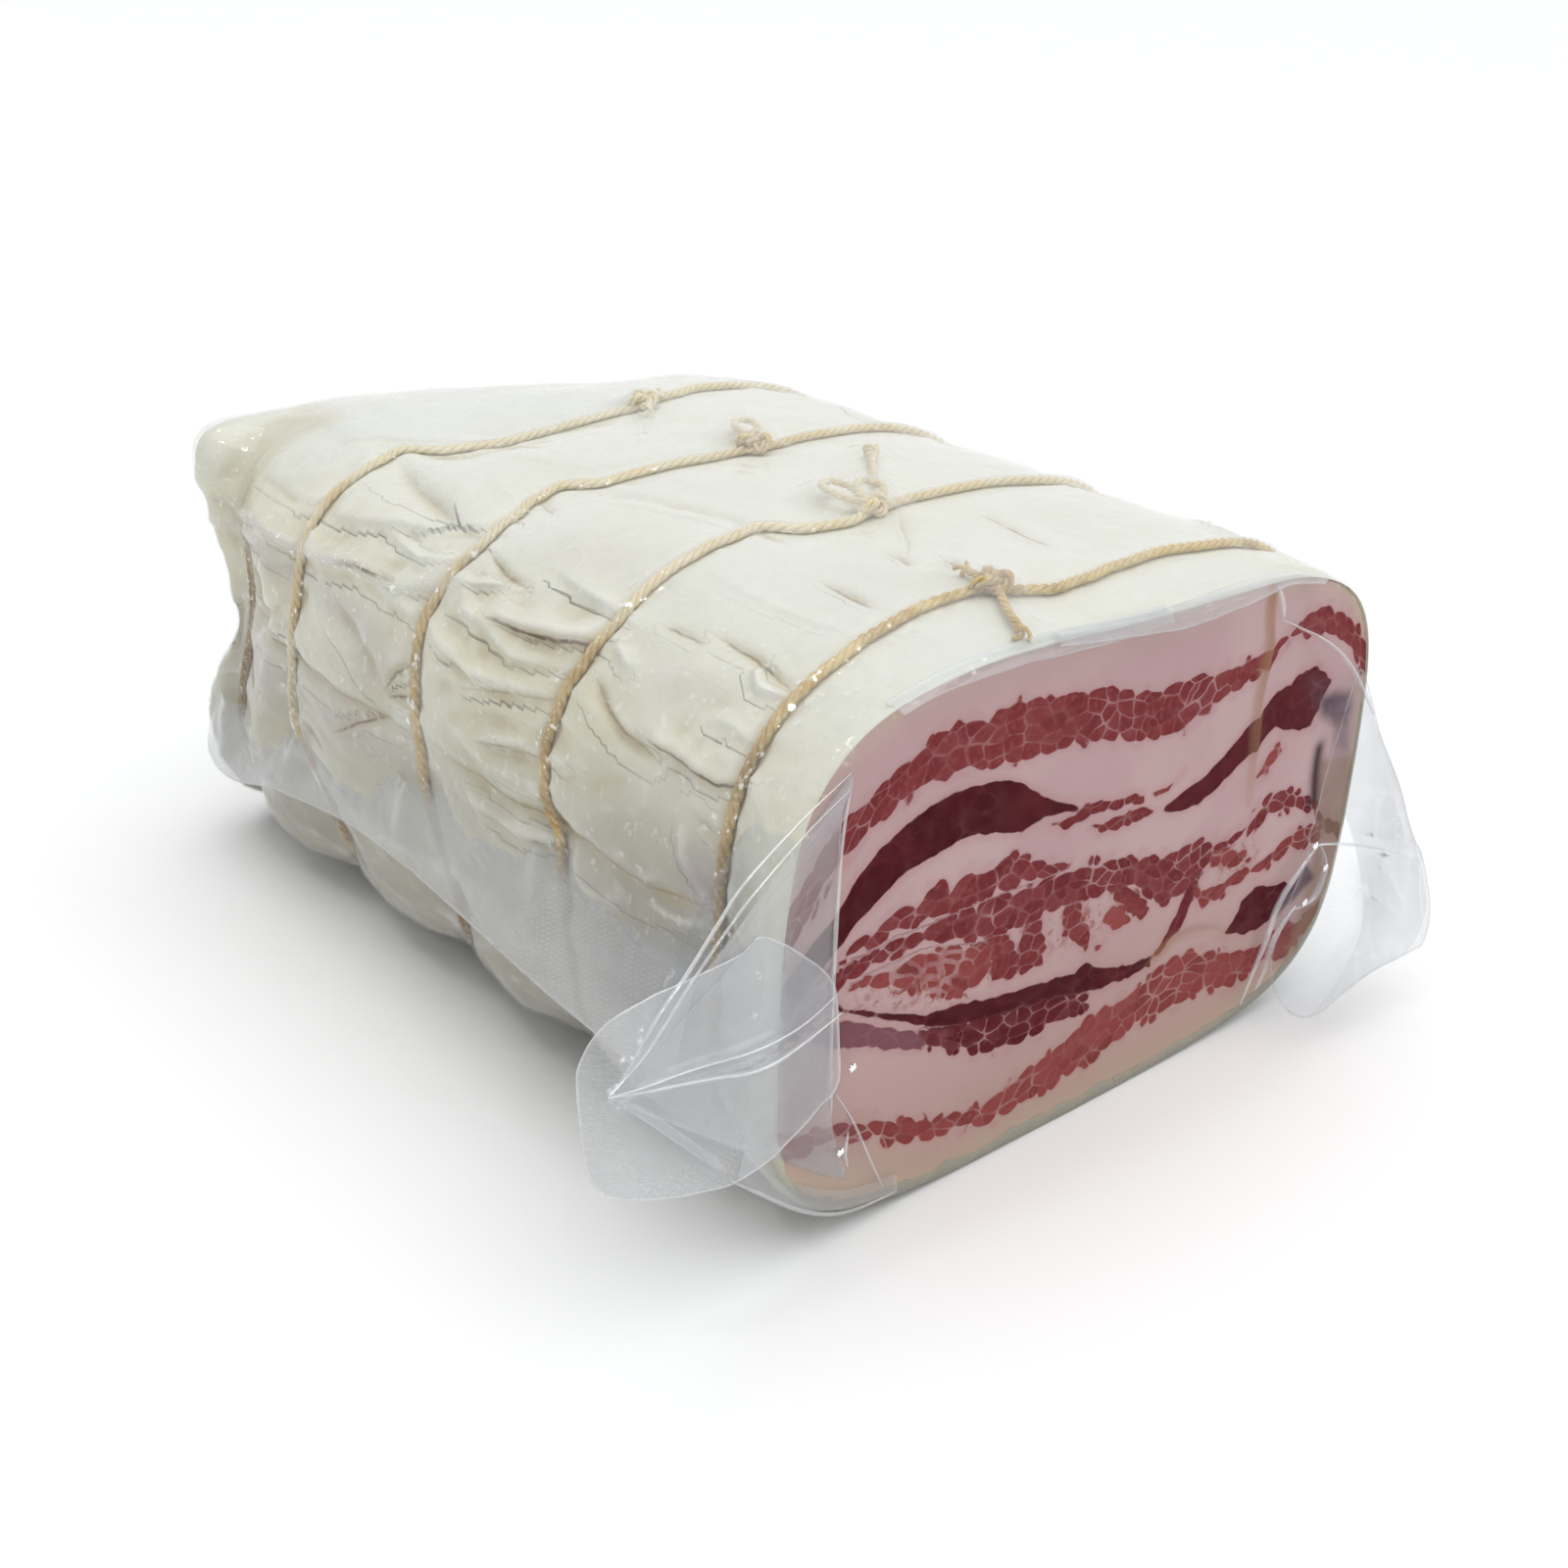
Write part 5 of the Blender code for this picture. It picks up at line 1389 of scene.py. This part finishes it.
def left_ear(mat):
    """The drawn-out front left corner of the pouch: a tent of film with the sealed border fanned over it."""
    face_line = [(-69.5, -0.4, 96.0), (-71.6, -0.8, 88.0), (-72.0, -1.2, 72.0), (-71.8, -1.2, 56.0),
                 (-71.4, -1.2, 40.0), (-69.6, -1.0, 26.0), (-65.0, -0.4, 13.4)]
    side_line = [(-66.0, 3.0, 10.0), (-75.0, 11.0, 16.0), (-82.6, 15.2, 30.0), (-84.4, 16.0, 50.0),
                 (-83.6, 15.8, 70.0), (-79.0, 13.0, 86.0), (-73.0, 5.0, 94.0)]
    base = curve(face_line + side_line, TENT_AROUND, closed=True)
    shares = np.linspace(1.0, 0.012, TENT_ROWS)[:, None, None]
    grid = np.array(EAR_TIP) + (base[None] - EAR_TIP) * shares
    turn = np.linspace(0, 2 * np.pi, TENT_AROUND, endpoint=False)
    streaks = 0.7 * np.sin(9 * turn + 1.3) + 0.5 * np.sin(23 * turn) + 0.3 * np.sin(41 * turn + 2)
    belly = (shares[..., 0] * (1 - shares[..., 0]) * 4) * (1.0 + 0.5 * streaks[None])
    front = smooth_step(-grid[..., 1], -8, -1)
    grid[..., 1] += np.where(front > 0.5, -0.5, 0.8) * belly
    lit = 0.5 + 0.5 * np.sin(5 * turn + 0.6)
    facing = np.arange(TENT_AROUND) < TENT_AROUND // 2
    haze = np.where(facing[None], 0.20 + 0.10 * lit[None], 0.012) * (0.6 + 0.4 * shares[..., 0])
    dull = np.where(facing[None], 0.0, 0.6) + 0 * shares[..., 0]
    sheet_piece("film_tent_left", grid, 0.22, True, mat, {"haze": haze, "dull": dull})
    fan, to_rim = fan_grid((-118.6, -1.2, 52.8), BORDER_RIM, 74, 260)
    fan = add_folds(fan, BORDER_FOLDS, (0, -1, 0))
    fan[..., 1] += 0.35 * grain(fan, 9.0, 2.0) * smooth_step(to_rim, 0, 8) - 0.4
    fan[..., 1] = np.minimum(fan[..., 1], np.where(fan[..., 0] > -72.5, -1.9, 5.0))
    left = smooth_step(-fan[..., 0], 112, 118)
    low = smooth_step(-fan[..., 2], -37, -31) * smooth_step(-fan[..., 0], 84, 96)
    frost = np.clip(0.8 * left + 0.8 * low, 0, 1)
    haze = 0.24 + 0.05 * grain(fan, 22.0, 9.0) + 0.14 * smooth_step(-to_rim, -0.6, 0.0)
    shine = 0.22 * smooth_step(-to_rim, -0.5, 0.0)
    glint = sum(np.exp(-(route_distance(fan[..., 0], fan[..., 2], route)[0] / wide) ** 2)
                for route, wide in EAR_GLINTS)
    sheet_piece("film_border_left", fan, 0.24, True, mat,
                {"haze": haze, "frost": frost, "shine": shine, "glint": 1.2 * glint})


# The front right corner of the pouch: rim as (x, y, z), and folds as route, width, height
RIGHT_RIM = [
    (78.6, -0.8, 80.0), (81.0, -3.4, 72.6), (82.6, -5.8, 65.4), (88.6, -9.0, 53.2), (92.5, -11.0, 43.2),
    (96.6, -13.0, 35.4), (99.4, -15.0, 26.3), (99.6, -16.5, 20.4), (96.8, -18.0, 15.4), (91.8, -18.0, 13.8),
    (78.1, -17.0, 12.6), (68.1, -16.5, 10.4), (61.1, -15.5, 7.4), (55.8, -13.5, 8.0), (55.0, -9.0, 10.6),
    (56.4, -5.0, 16.1), (60.0, -3.5, 25.5), (65.2, -3.0, 35.8), (67.0, -2.6, 44.7), (69.5, -2.0, 55.9),
    (72.5, -1.6, 66.5), (75.4, -1.2, 75.6),
]
RIGHT_FOLDS = [
    ([(67.7, 41.8), (73.0, 41.8), (84.3, 38.5), (93.3, 35.0)], 0.9, 1.8),
    ([(67.5, 44.5), (75.1, 45.0), (86.4, 41.5), (94.9, 38.0)], 1.2, -1.2),
    ([(66.4, 39.4), (76.0, 31.9), (86.9, 21.1), (94.3, 14.6)], 1.0, 1.6),
    ([(78, 40), (84, 32), (88, 24), (88, 16)], 1.4, 1.0),
    ([(84, 52), (89, 42), (94, 32), (95, 20)], 1.6, 1.2),
    ([(70, 52), (78, 54), (86, 50)], 1.4, 1.0),
    ([(62, 16), (72, 20), (84, 16)], 3.0, -1.0),
]


def right_ear(mat):
    """The front right corner of the pouch, drooping forward to the table."""
    fan, to_rim = fan_grid((81.0, -12.0, 36.0), RIGHT_RIM, 60, 220)
    fan = add_folds(fan, RIGHT_FOLDS, (0.25, -1, 0))
    fan += (0.5 * grain(fan, 8.0, 6.0) * smooth_step(to_rim, 0, 8))[..., None] * np.array((0.2, -1.0, 0))
    streak = np.abs(grain(fan * [1.0, 1.0, 0.35], 7.0, 3.0))
    past_face = fan[..., 0] - between([(0, 60), (10, 66), (30, 78), (60, 84), (85, 82)], fan[..., 2])
    haze = 0.14 + 0.22 * streak + 0.05 * grain(fan, 30.0, 2.0)
    beyond = smooth_step(past_face, -6, 1)
    haze = haze * (0.04 + 0.96 * beyond) + 0.30 * smooth_step(-to_rim, -0.8, 0.0)
    sheet_piece("film_ear_right", fan, 0.24, True, mat,
                {"haze": haze, "frost": 0.15 + 0 * haze, "dull": 0.9 * (1 - beyond)})
    back_rim = [(76.0, 1.0, 84.0), (80.5, 4.0, 77.0), (83.5, 8.0, 66.0), (86.0, 6.0, 50.0),
                (88.0, -2.0, 34.0), (86.0, -8.0, 18.0), (76.0, -10.0, 7.0), (66.0, -11.0, 2.4)]
    front_rim = [(78.0, 0.4, 81.0), (82.2, -5.6, 65.6), (88.4, -8.8, 53.4), (92.4, -10.8, 43.4),
                 (98.6, -15.4, 24.0), (91.0, -17.6, 14.2), (77.6, -16.7, 12.8), (65.8, -15.6, 9.4)]
    near, far = curve(front_rim, 90), curve(back_rim, 90)
    grid, t = span(near, far, 26)
    grid = grid + (1.4 * np.sin(np.pi * t) * grain(grid, 11.0, 8.0)[..., None]) * np.array((0.7, 0.0, 0.3))
    beyond = smooth_step(grid[..., 0], 78, 86)
    sheet_piece("film_back_right", grid, 0.24, False, mat,
                {"haze": 0.003 + 0.097 * beyond, "dull": 0.9 * (1 - beyond)})


def seam_strip(name, upper, lower, rows, mat, hatched):
    """A sealed border strip between two lines, slightly wavy, cloudier along its lower edge."""
    grid, t = span(upper, lower, rows)
    bow = np.sin(np.pi * t[..., 0])
    away = unit(np.cross(lower - upper, np.gradient(upper, axis=0)))
    wave = 0.7 * grain(grid, 13.0, 5.0) + 0.35 * grain(grid, 5.0, 7.0)
    grid = grid + away[None] * (bow * wave)[..., None]
    haze = 0.26 + 0.10 * np.abs(grain(grid * [1, 0.4, 1], 12, 4.0))
    haze = (haze + 0.25 * smooth_step(t[..., 0], 0.965, 1.0)) * smooth_step(t[..., 0], 0.0, 0.25)
    frost = hatched[None] * smooth_step(t[..., 0], 0.05, 0.2) + 0 * haze
    return sheet_piece(name, grid, 0.3, False, mat, {"haze": haze + 0 * frost, "frost": frost})


# First and last place of the side seams along the block
SEAM_START = 21.5
SEAM_END = 228.0


def seams(mat):
    y = np.linspace(SEAM_START, SEAM_END, 190)
    body_y = np.minimum(y, LENGTH)
    for side, name in ((-1, "film_seam_left"), (1, "film_seam_right")):
        near_tie = np.min([np.abs(y - tie) for tie in TIES[1:]], axis=0)
        out = 1.4 + (SEAM_OUT - 1.4) * np.exp(-(near_tie / 4.5) ** 2)
        out = out * (1 - smooth_step(y, LENGTH - 12, LENGTH))
        tuck = 6.0 * smooth_step(y, LENGTH - 10, SEAM_END)
        sway = np.sin(y * 2 * np.pi / 90 + (0.4 if side < 0 else 2.0))
        hang = HALF_W + SEAM_OUT + between(SEAM_HANG, y)
        top = between(SEAM_TOP, y) - 3 * smooth_step(y, 216, SEAM_END)
        upper = np.stack([side * (HALF_W + out - tuck), y, top], 1)
        lower = np.stack([side * (hang + 0.8 * sway - 0.9 * tuck), y, between(SEAM_LOW, y) - 1.5 * sway], 1)
        hatched = smooth_step(y, 24, 32) * (1 - smooth_step(y, 66, 82)) + 0.12
        seam_strip(name, upper, lower, 26, mat, hatched + 0 * body_y)
    x = np.linspace(-72, 72, 120)
    sway = np.sin(3 * np.pi * (x + 72) / 144)
    upper = np.stack([x, 0 * x + LENGTH + 1.8, 50 + 2 * sway], 1)
    lower = np.stack([x * 1.05, LENGTH + 4.0 + 1.2 * sway, 27 - 2 * sway], 1)
    seam_strip("film_seam_back", upper, lower, 20, mat, 0.5 + 0 * x)


# Pinched folds over the cut face: route of (x, y, z), width and height
FACE_RIDGES = [
    ([(-69.4, -0.6, 96), (-71.8, -1.4, 84), (-72.2, -1.6, 64), (-71.8, -1.6, 44), (-70.4, -1.4, 30)],
     0.9, 0.7),
    ([(-69.5, -1.3, 33.6), (-64.8, -1.3, 25.6), (-60, -1.3, 15.4), (-55.6, -1.2, 6.4)], 0.8, 0.6),
    ([(41.8, -1.5, 106.5), (43.5, -1.7, 103.3), (44.9, -1.7, 99.2)], 1.1, 0.9),
    ([(45.0, -1.5, 98.8), (51.9, -2.2, 95.5), (60.4, -2.9, 91.1), (67.7, -3.7, 85.3), (73.8, -4.2, 78.5),
     (79.3, -5.2, 70.7)], 1.0, 1.1),
    ([(70.1, -3.0, 41.3), (65.9, -2.8, 38.2), (60.6, -2.5, 32.5), (58.5, -2.2, 28.2), (57.0, -2.0, 21.2),
     (54.7, -1.8, 14.4), (52.4, -1.5, 6.3)], 1.4, 1.2),
    ([(70.6, -3.2, 41.3), (73.1, -3.4, 36.1), (72.5, -3.4, 31.4), (70.0, -3.3, 27.8), (63.8, -3.2, 27.3)],
     1.0, 1.4),
    ([(64.8, -3.3, 28.4), (60.4, -2.9, 24.2), (58.3, -2.6, 19.8), (57.7, -2.3, 13.6), (56.4, -2.0, 8.8)],
     1.1, 1.3),
    ([(67.0, -3.2, 42.2), (71.7, -5.6, 42.2), (84.3, -8.4, 38.5), (91.3, -11.4, 35.8)], 0.8, 1.0),
    ([(-66, -1.3, 24), (-66.6, -1.4, 20), (-65.6, -1.3, 16)], 0.8, 0.7),
]
# Small bright stars where a wrinkle of the film over the face catches the light
STARS = [(-66.1, -1.5, 38.0), (-67.8, -1.5, 20.4), (67.0, -4.0, 28.4), (72.6, -4.2, 35.4), (68.0, -3.6, 42.0)]
# Pinched folds that run to the tip of the left corner
TENT_RIDGES = [
    ([(-69.6, -0.9, 97.0), (-80.5, -0.9, 91.2), (-91.9, -0.9, 83.6), (-97.3, -1.0, 77.9),
     (-104.1, -1.1, 70.3), (-109.8, -1.3, 64.8), (-115.6, -1.8, 57.6)], 0.7, 0.5, 0.12, 0.22),
    ([(-70.2, -1.5, 94.4), (-79.5, -1.7, 89.4), (-90.4, -1.8, 81.8), (-96.6, -1.9, 76.4),
     (-103.2, -2.0, 69.8), (-107.9, -2.0, 64.4), (-112.9, -2.2, 59.4)], 0.6, 0.5, 0.1, 0.18),
    ([(-72.4, -3.7, 57.2), (-79.1, -3.8, 54.2), (-85.7, -3.8, 52.9), (-92.9, -3.7, 52.8),
     (-101.7, -3.5, 53.9), (-107.6, -3.3, 54.3), (-113.5, -3.0, 54.4)], 0.8, 0.7, 0.1, 0.16),
    ([(-71.4, -3.8, 52.8), (-80.6, -4.2, 50.3), (-87.0, -4.2, 48.9), (-92.7, -4.0, 49.1),
     (-98.4, -3.8, 50.6), (-106.3, -3.5, 52.3), (-112.7, -3.0, 53.3)], 1.3, 0.9, 0.16, 0.14),
    ([(-97.4, -3.9, 31.6), (-98.6, -3.8, 33.2), (-103.6, -3.6, 38.6), (-109.8, -3.2, 45.3),
     (-114.9, -2.8, 50.6)], 1.8, 0.5, 0.2, 0.02),
]


def film_folds(mat):
    """Pinched folds of film on the block, over the face and on the left corner, as one piece."""
    parts, haze, shine = [], [], []
    tip = (-120.1, -2.4, 54.8)
    foot = [(-94.6, -3.2, 27.4), (-91.4, -2.7, 24.6), (-86.5, -2.5, 20.3), (-78.8, -2.0, 13.6),
            (-70.8, -1.6, 8.2), (-62.8, -1.3, 5.2), (-52, -1.2, 4.2)]
    ridges = [(route, (0, -1, 0), wide, high, 0.12, 0.18, 0.98) for route, wide, high in FACE_RIDGES]
    ridges += [([*route, tip], (-0.5, -0.7, 0.4), wide, high, cloud, gloss, 0.88)
               for route, wide, high, cloud, gloss in TENT_RIDGES]
    ridges.append((foot, (-0.6, -0.6, -0.5), 0.8, 0.7, 0.12, 0.16, 0.98))
    for star in STARS:
        for across, up in ((0.9, 0.1), (0.5, 0.8), (-0.6, 0.7)):
            reach = np.array((across, 0.0, up))
            ridges.append(([star - reach, star, star + reach], (0, -1, 0), 0.8, 0.6, 0.3, 0.9, 0.98))
    for route, away, wide, high, cloud, gloss, last in ridges:
        part = ridge_strip(route, away, wide, high, 56, last)
        parts.append(part)
        haze += [cloud] * len(part[0])
        shine += [gloss] * len(part[0])
    points, faces = join_meshes(parts)
    make_piece("film_folds", points, faces, mat, {"haze": haze, "shine": shine})


def film_lip(mat):
    """The loose roll of film along the top of the cut face, and the slack web under the left corner."""
    low = [(-22, -1.4, 108.2), (-8, -2.0, 106.4), (6.9, -2.4, 104.8), (15.6, -2.6, 104.2),
           (26.3, -2.6, 104.8), (36.4, -2.4, 105.4), (46.4, -1.8, 105.8), (58, -1.4, 103.6)]
    high = [(-22, 0.6, 110.2), (-8, 0.8, 108.8), (6.9, 1.0, 107.8), (15.6, 1.0, 107.8),
            (26.3, 1.0, 108.2), (36.4, 1.0, 108.2), (46.4, 1.0, 107.6), (58, 1.0, 104.8)]
    near, far = curve(low, 110), curve(high, 110)
    grid, t = span(near, far, 16)
    roll = np.sin(np.pi * t[..., 0])
    wave = (0.35 * grain(grid, 6.0, 4.0))[..., None] * (0, -1, 0)
    grid = grid + roll[..., None] * np.array((0, -1.5, 0.9)) + wave
    haze = 0.20 + 0.25 * smooth_step(-np.abs(t[..., 0] - 0.05), -0.08, 0.0) + 0 * grid[..., 0]
    sheet_piece("film_lip_top", grid, 0.22, False, mat, {"haze": haze})
    s = np.linspace(58, 128, 120)
    fade = np.sin(np.pi * np.linspace(0.06, 0.8, len(s)))
    near = skin(0 * s, s, 1.2 + 1.6 * fade + 0.5 * round_noise(s, 9.0, 21.0)) + (0, -1.6, 0)
    far = skin(0 * s + 1.6, s, -1.0)
    grid, t = span(near, far, 12)
    grid = grid + np.sin(np.pi * t) * np.array((0, -0.5, 0.3)) * fade[None, :, None]
    haze = 0.16 + 0.3 * smooth_step(-t[..., 0], -0.12, 0.0) + 0 * grid[..., 0]
    sheet_piece("film_lip_left", grid, 0.22, False, mat, {"haze": haze})
    near = curve([(-93, -3.0, 26.4), (-86, -2.6, 19.4), (-78, -1.8, 12.8), (-72, -1.5, 9.2),
                  (-63.4, -1.2, 6.0), (-52, -1.1, 4.4)], 80)
    far = curve([(-84, 4.0, 33.0), (-82, 2.0, 25.0), (-77, 0.4, 17.6), (-71, -0.4, 13.0), (-63, -0.8, 9.6),
                 (-52, -0.9, 8.0)], 80)
    grid, t = span(near, far, 14)
    grid = grid + (0.5 * np.sin(np.pi * t) * grain(grid, 8.0, 5.0)[..., None]) * np.array((0, -1, 0))
    sheet_piece("film_web_left", grid, 0.22, False, mat, {"haze": 0.16 + 0 * grid[..., 0]})


# Camera, light and floor

ROOM_LIGHT = (0.97, 0.985, 1.0, 1)
ROOM_STRENGTH = 0.45
SUN_LIGHT = (1.0, 0.99, 0.97)
SUN_STRENGTH = 1.85
SUN_SOFT = 75
FLOOR_COLOUR = (0.97, 0.98, 0.985, 1)
FLOOR_REACH = 9.0
# Lamps: name, power, size and place in metres
LAMPS = [
    ("front_box", 1.6, 0.7, (0.9, -1.2, 0.7)),
    ("spark_left", 0.6, 0.10, (-0.55, 0.05, 1.05)),
    ("spark_front", 0.3, 0.06, (-0.5, -0.9, 0.62)),
]


def studio():
    scene = bpy.context.scene
    scene.view_settings.view_transform = "Standard"
    scene.cycles.transparent_max_bounces = 40
    scene.cycles.max_bounces = 12
    world = bpy.data.worlds.new("studio")
    world.use_nodes = True
    tree = world.node_tree
    tree.nodes.clear()
    output = tree.nodes.new("ShaderNodeOutputWorld")
    light, seen = tree.nodes.new("ShaderNodeBackground"), tree.nodes.new("ShaderNodeBackground")
    light.inputs["Strength"].default_value = ROOM_STRENGTH
    seen.inputs["Strength"].default_value = 1.0
    light.inputs["Color"].default_value = ROOM_LIGHT
    seen.inputs["Color"].default_value = (1, 1, 1, 1)
    mix, path = tree.nodes.new("ShaderNodeMixShader"), tree.nodes.new("ShaderNodeLightPath")
    direct = tree.nodes.new("ShaderNodeMath")
    direct.operation = "MAXIMUM"
    tree.links.new(path.outputs["Is Camera Ray"], direct.inputs[0])
    tree.links.new(path.outputs["Is Glossy Ray"], direct.inputs[1])
    tree.links.new(direct.outputs[0], mix.inputs[0])
    tree.links.new(light.outputs[0], mix.inputs[1])
    tree.links.new(seen.outputs[0], mix.inputs[2])
    tree.links.new(mix.outputs[0], output.inputs["Surface"])
    scene.world = world
    sun = bpy.data.lights.new("overhead", "SUN")
    sun.energy, sun.angle, sun.color = SUN_STRENGTH, math.radians(SUN_SOFT), SUN_LIGHT
    add_light(sun, (0.08, -0.08, 1.0), (0, 0, 0))
    for name, power, size, spot in LAMPS:
        box = bpy.data.lights.new(name, "AREA")
        box.energy, box.size = power, size
        add_light(box, spot, (0, 0, 0.05))
    floor = bpy.data.meshes.new("floor")
    corners = [(-1, -1), (1, -1), (1, 1), (-1, 1)]
    floor.from_pydata([(x * FLOOR_REACH, y * FLOOR_REACH, 0) for x, y in corners], [], [(0, 1, 2, 3)])
    n = Nodes("floor")
    shader = n.add("ShaderNodeBsdfDiffuse", None, Color=FLOOR_COLOUR)
    floor.materials.append(n.finish(shader.outputs[0]))
    plane = bpy.data.objects.new("floor", floor)
    scene.collection.objects.link(plane)


def add_light(light, spot, target):
    obj = bpy.data.objects.new(light.name, light)
    obj.location = spot
    obj.rotation_euler = (Vector(spot) - Vector(target)).to_track_quat("Z", "Y").to_euler()
    bpy.context.scene.collection.objects.link(obj)


def camera():
    back = Vector((math.sin(AZIMUTH) * math.cos(ELEVATION), -math.cos(AZIMUTH) * math.cos(ELEVATION),
                   math.sin(ELEVATION)))
    right = Vector((math.cos(AZIMUTH), math.sin(AZIMUTH), 0))
    up = back.cross(right)
    right, up = (right * math.cos(ROLL) + up * math.sin(ROLL), up * math.cos(ROLL) - right * math.sin(ROLL))
    data = bpy.data.cameras.new("camera")
    data.lens, data.sensor_width = LENS, 36.0
    data.clip_start, data.clip_end = 0.01, 30.0
    obj = bpy.data.objects.new("camera", data)
    matrix = Matrix((right, up, back)).transposed().to_4x4()
    matrix.translation = (EYE + Vector(SHIFT)) * MM
    obj.matrix_world = matrix
    bpy.context.scene.collection.objects.link(obj)
    bpy.context.scene.camera = obj


camera()
studio()
casing(casing_material())
cut_face(meat_material())
twines(twine_material())
film = film_material()
film_skin(film)
left_ear(film)
right_ear(film)
seams(film)
film_folds(film)
film_lip(film)
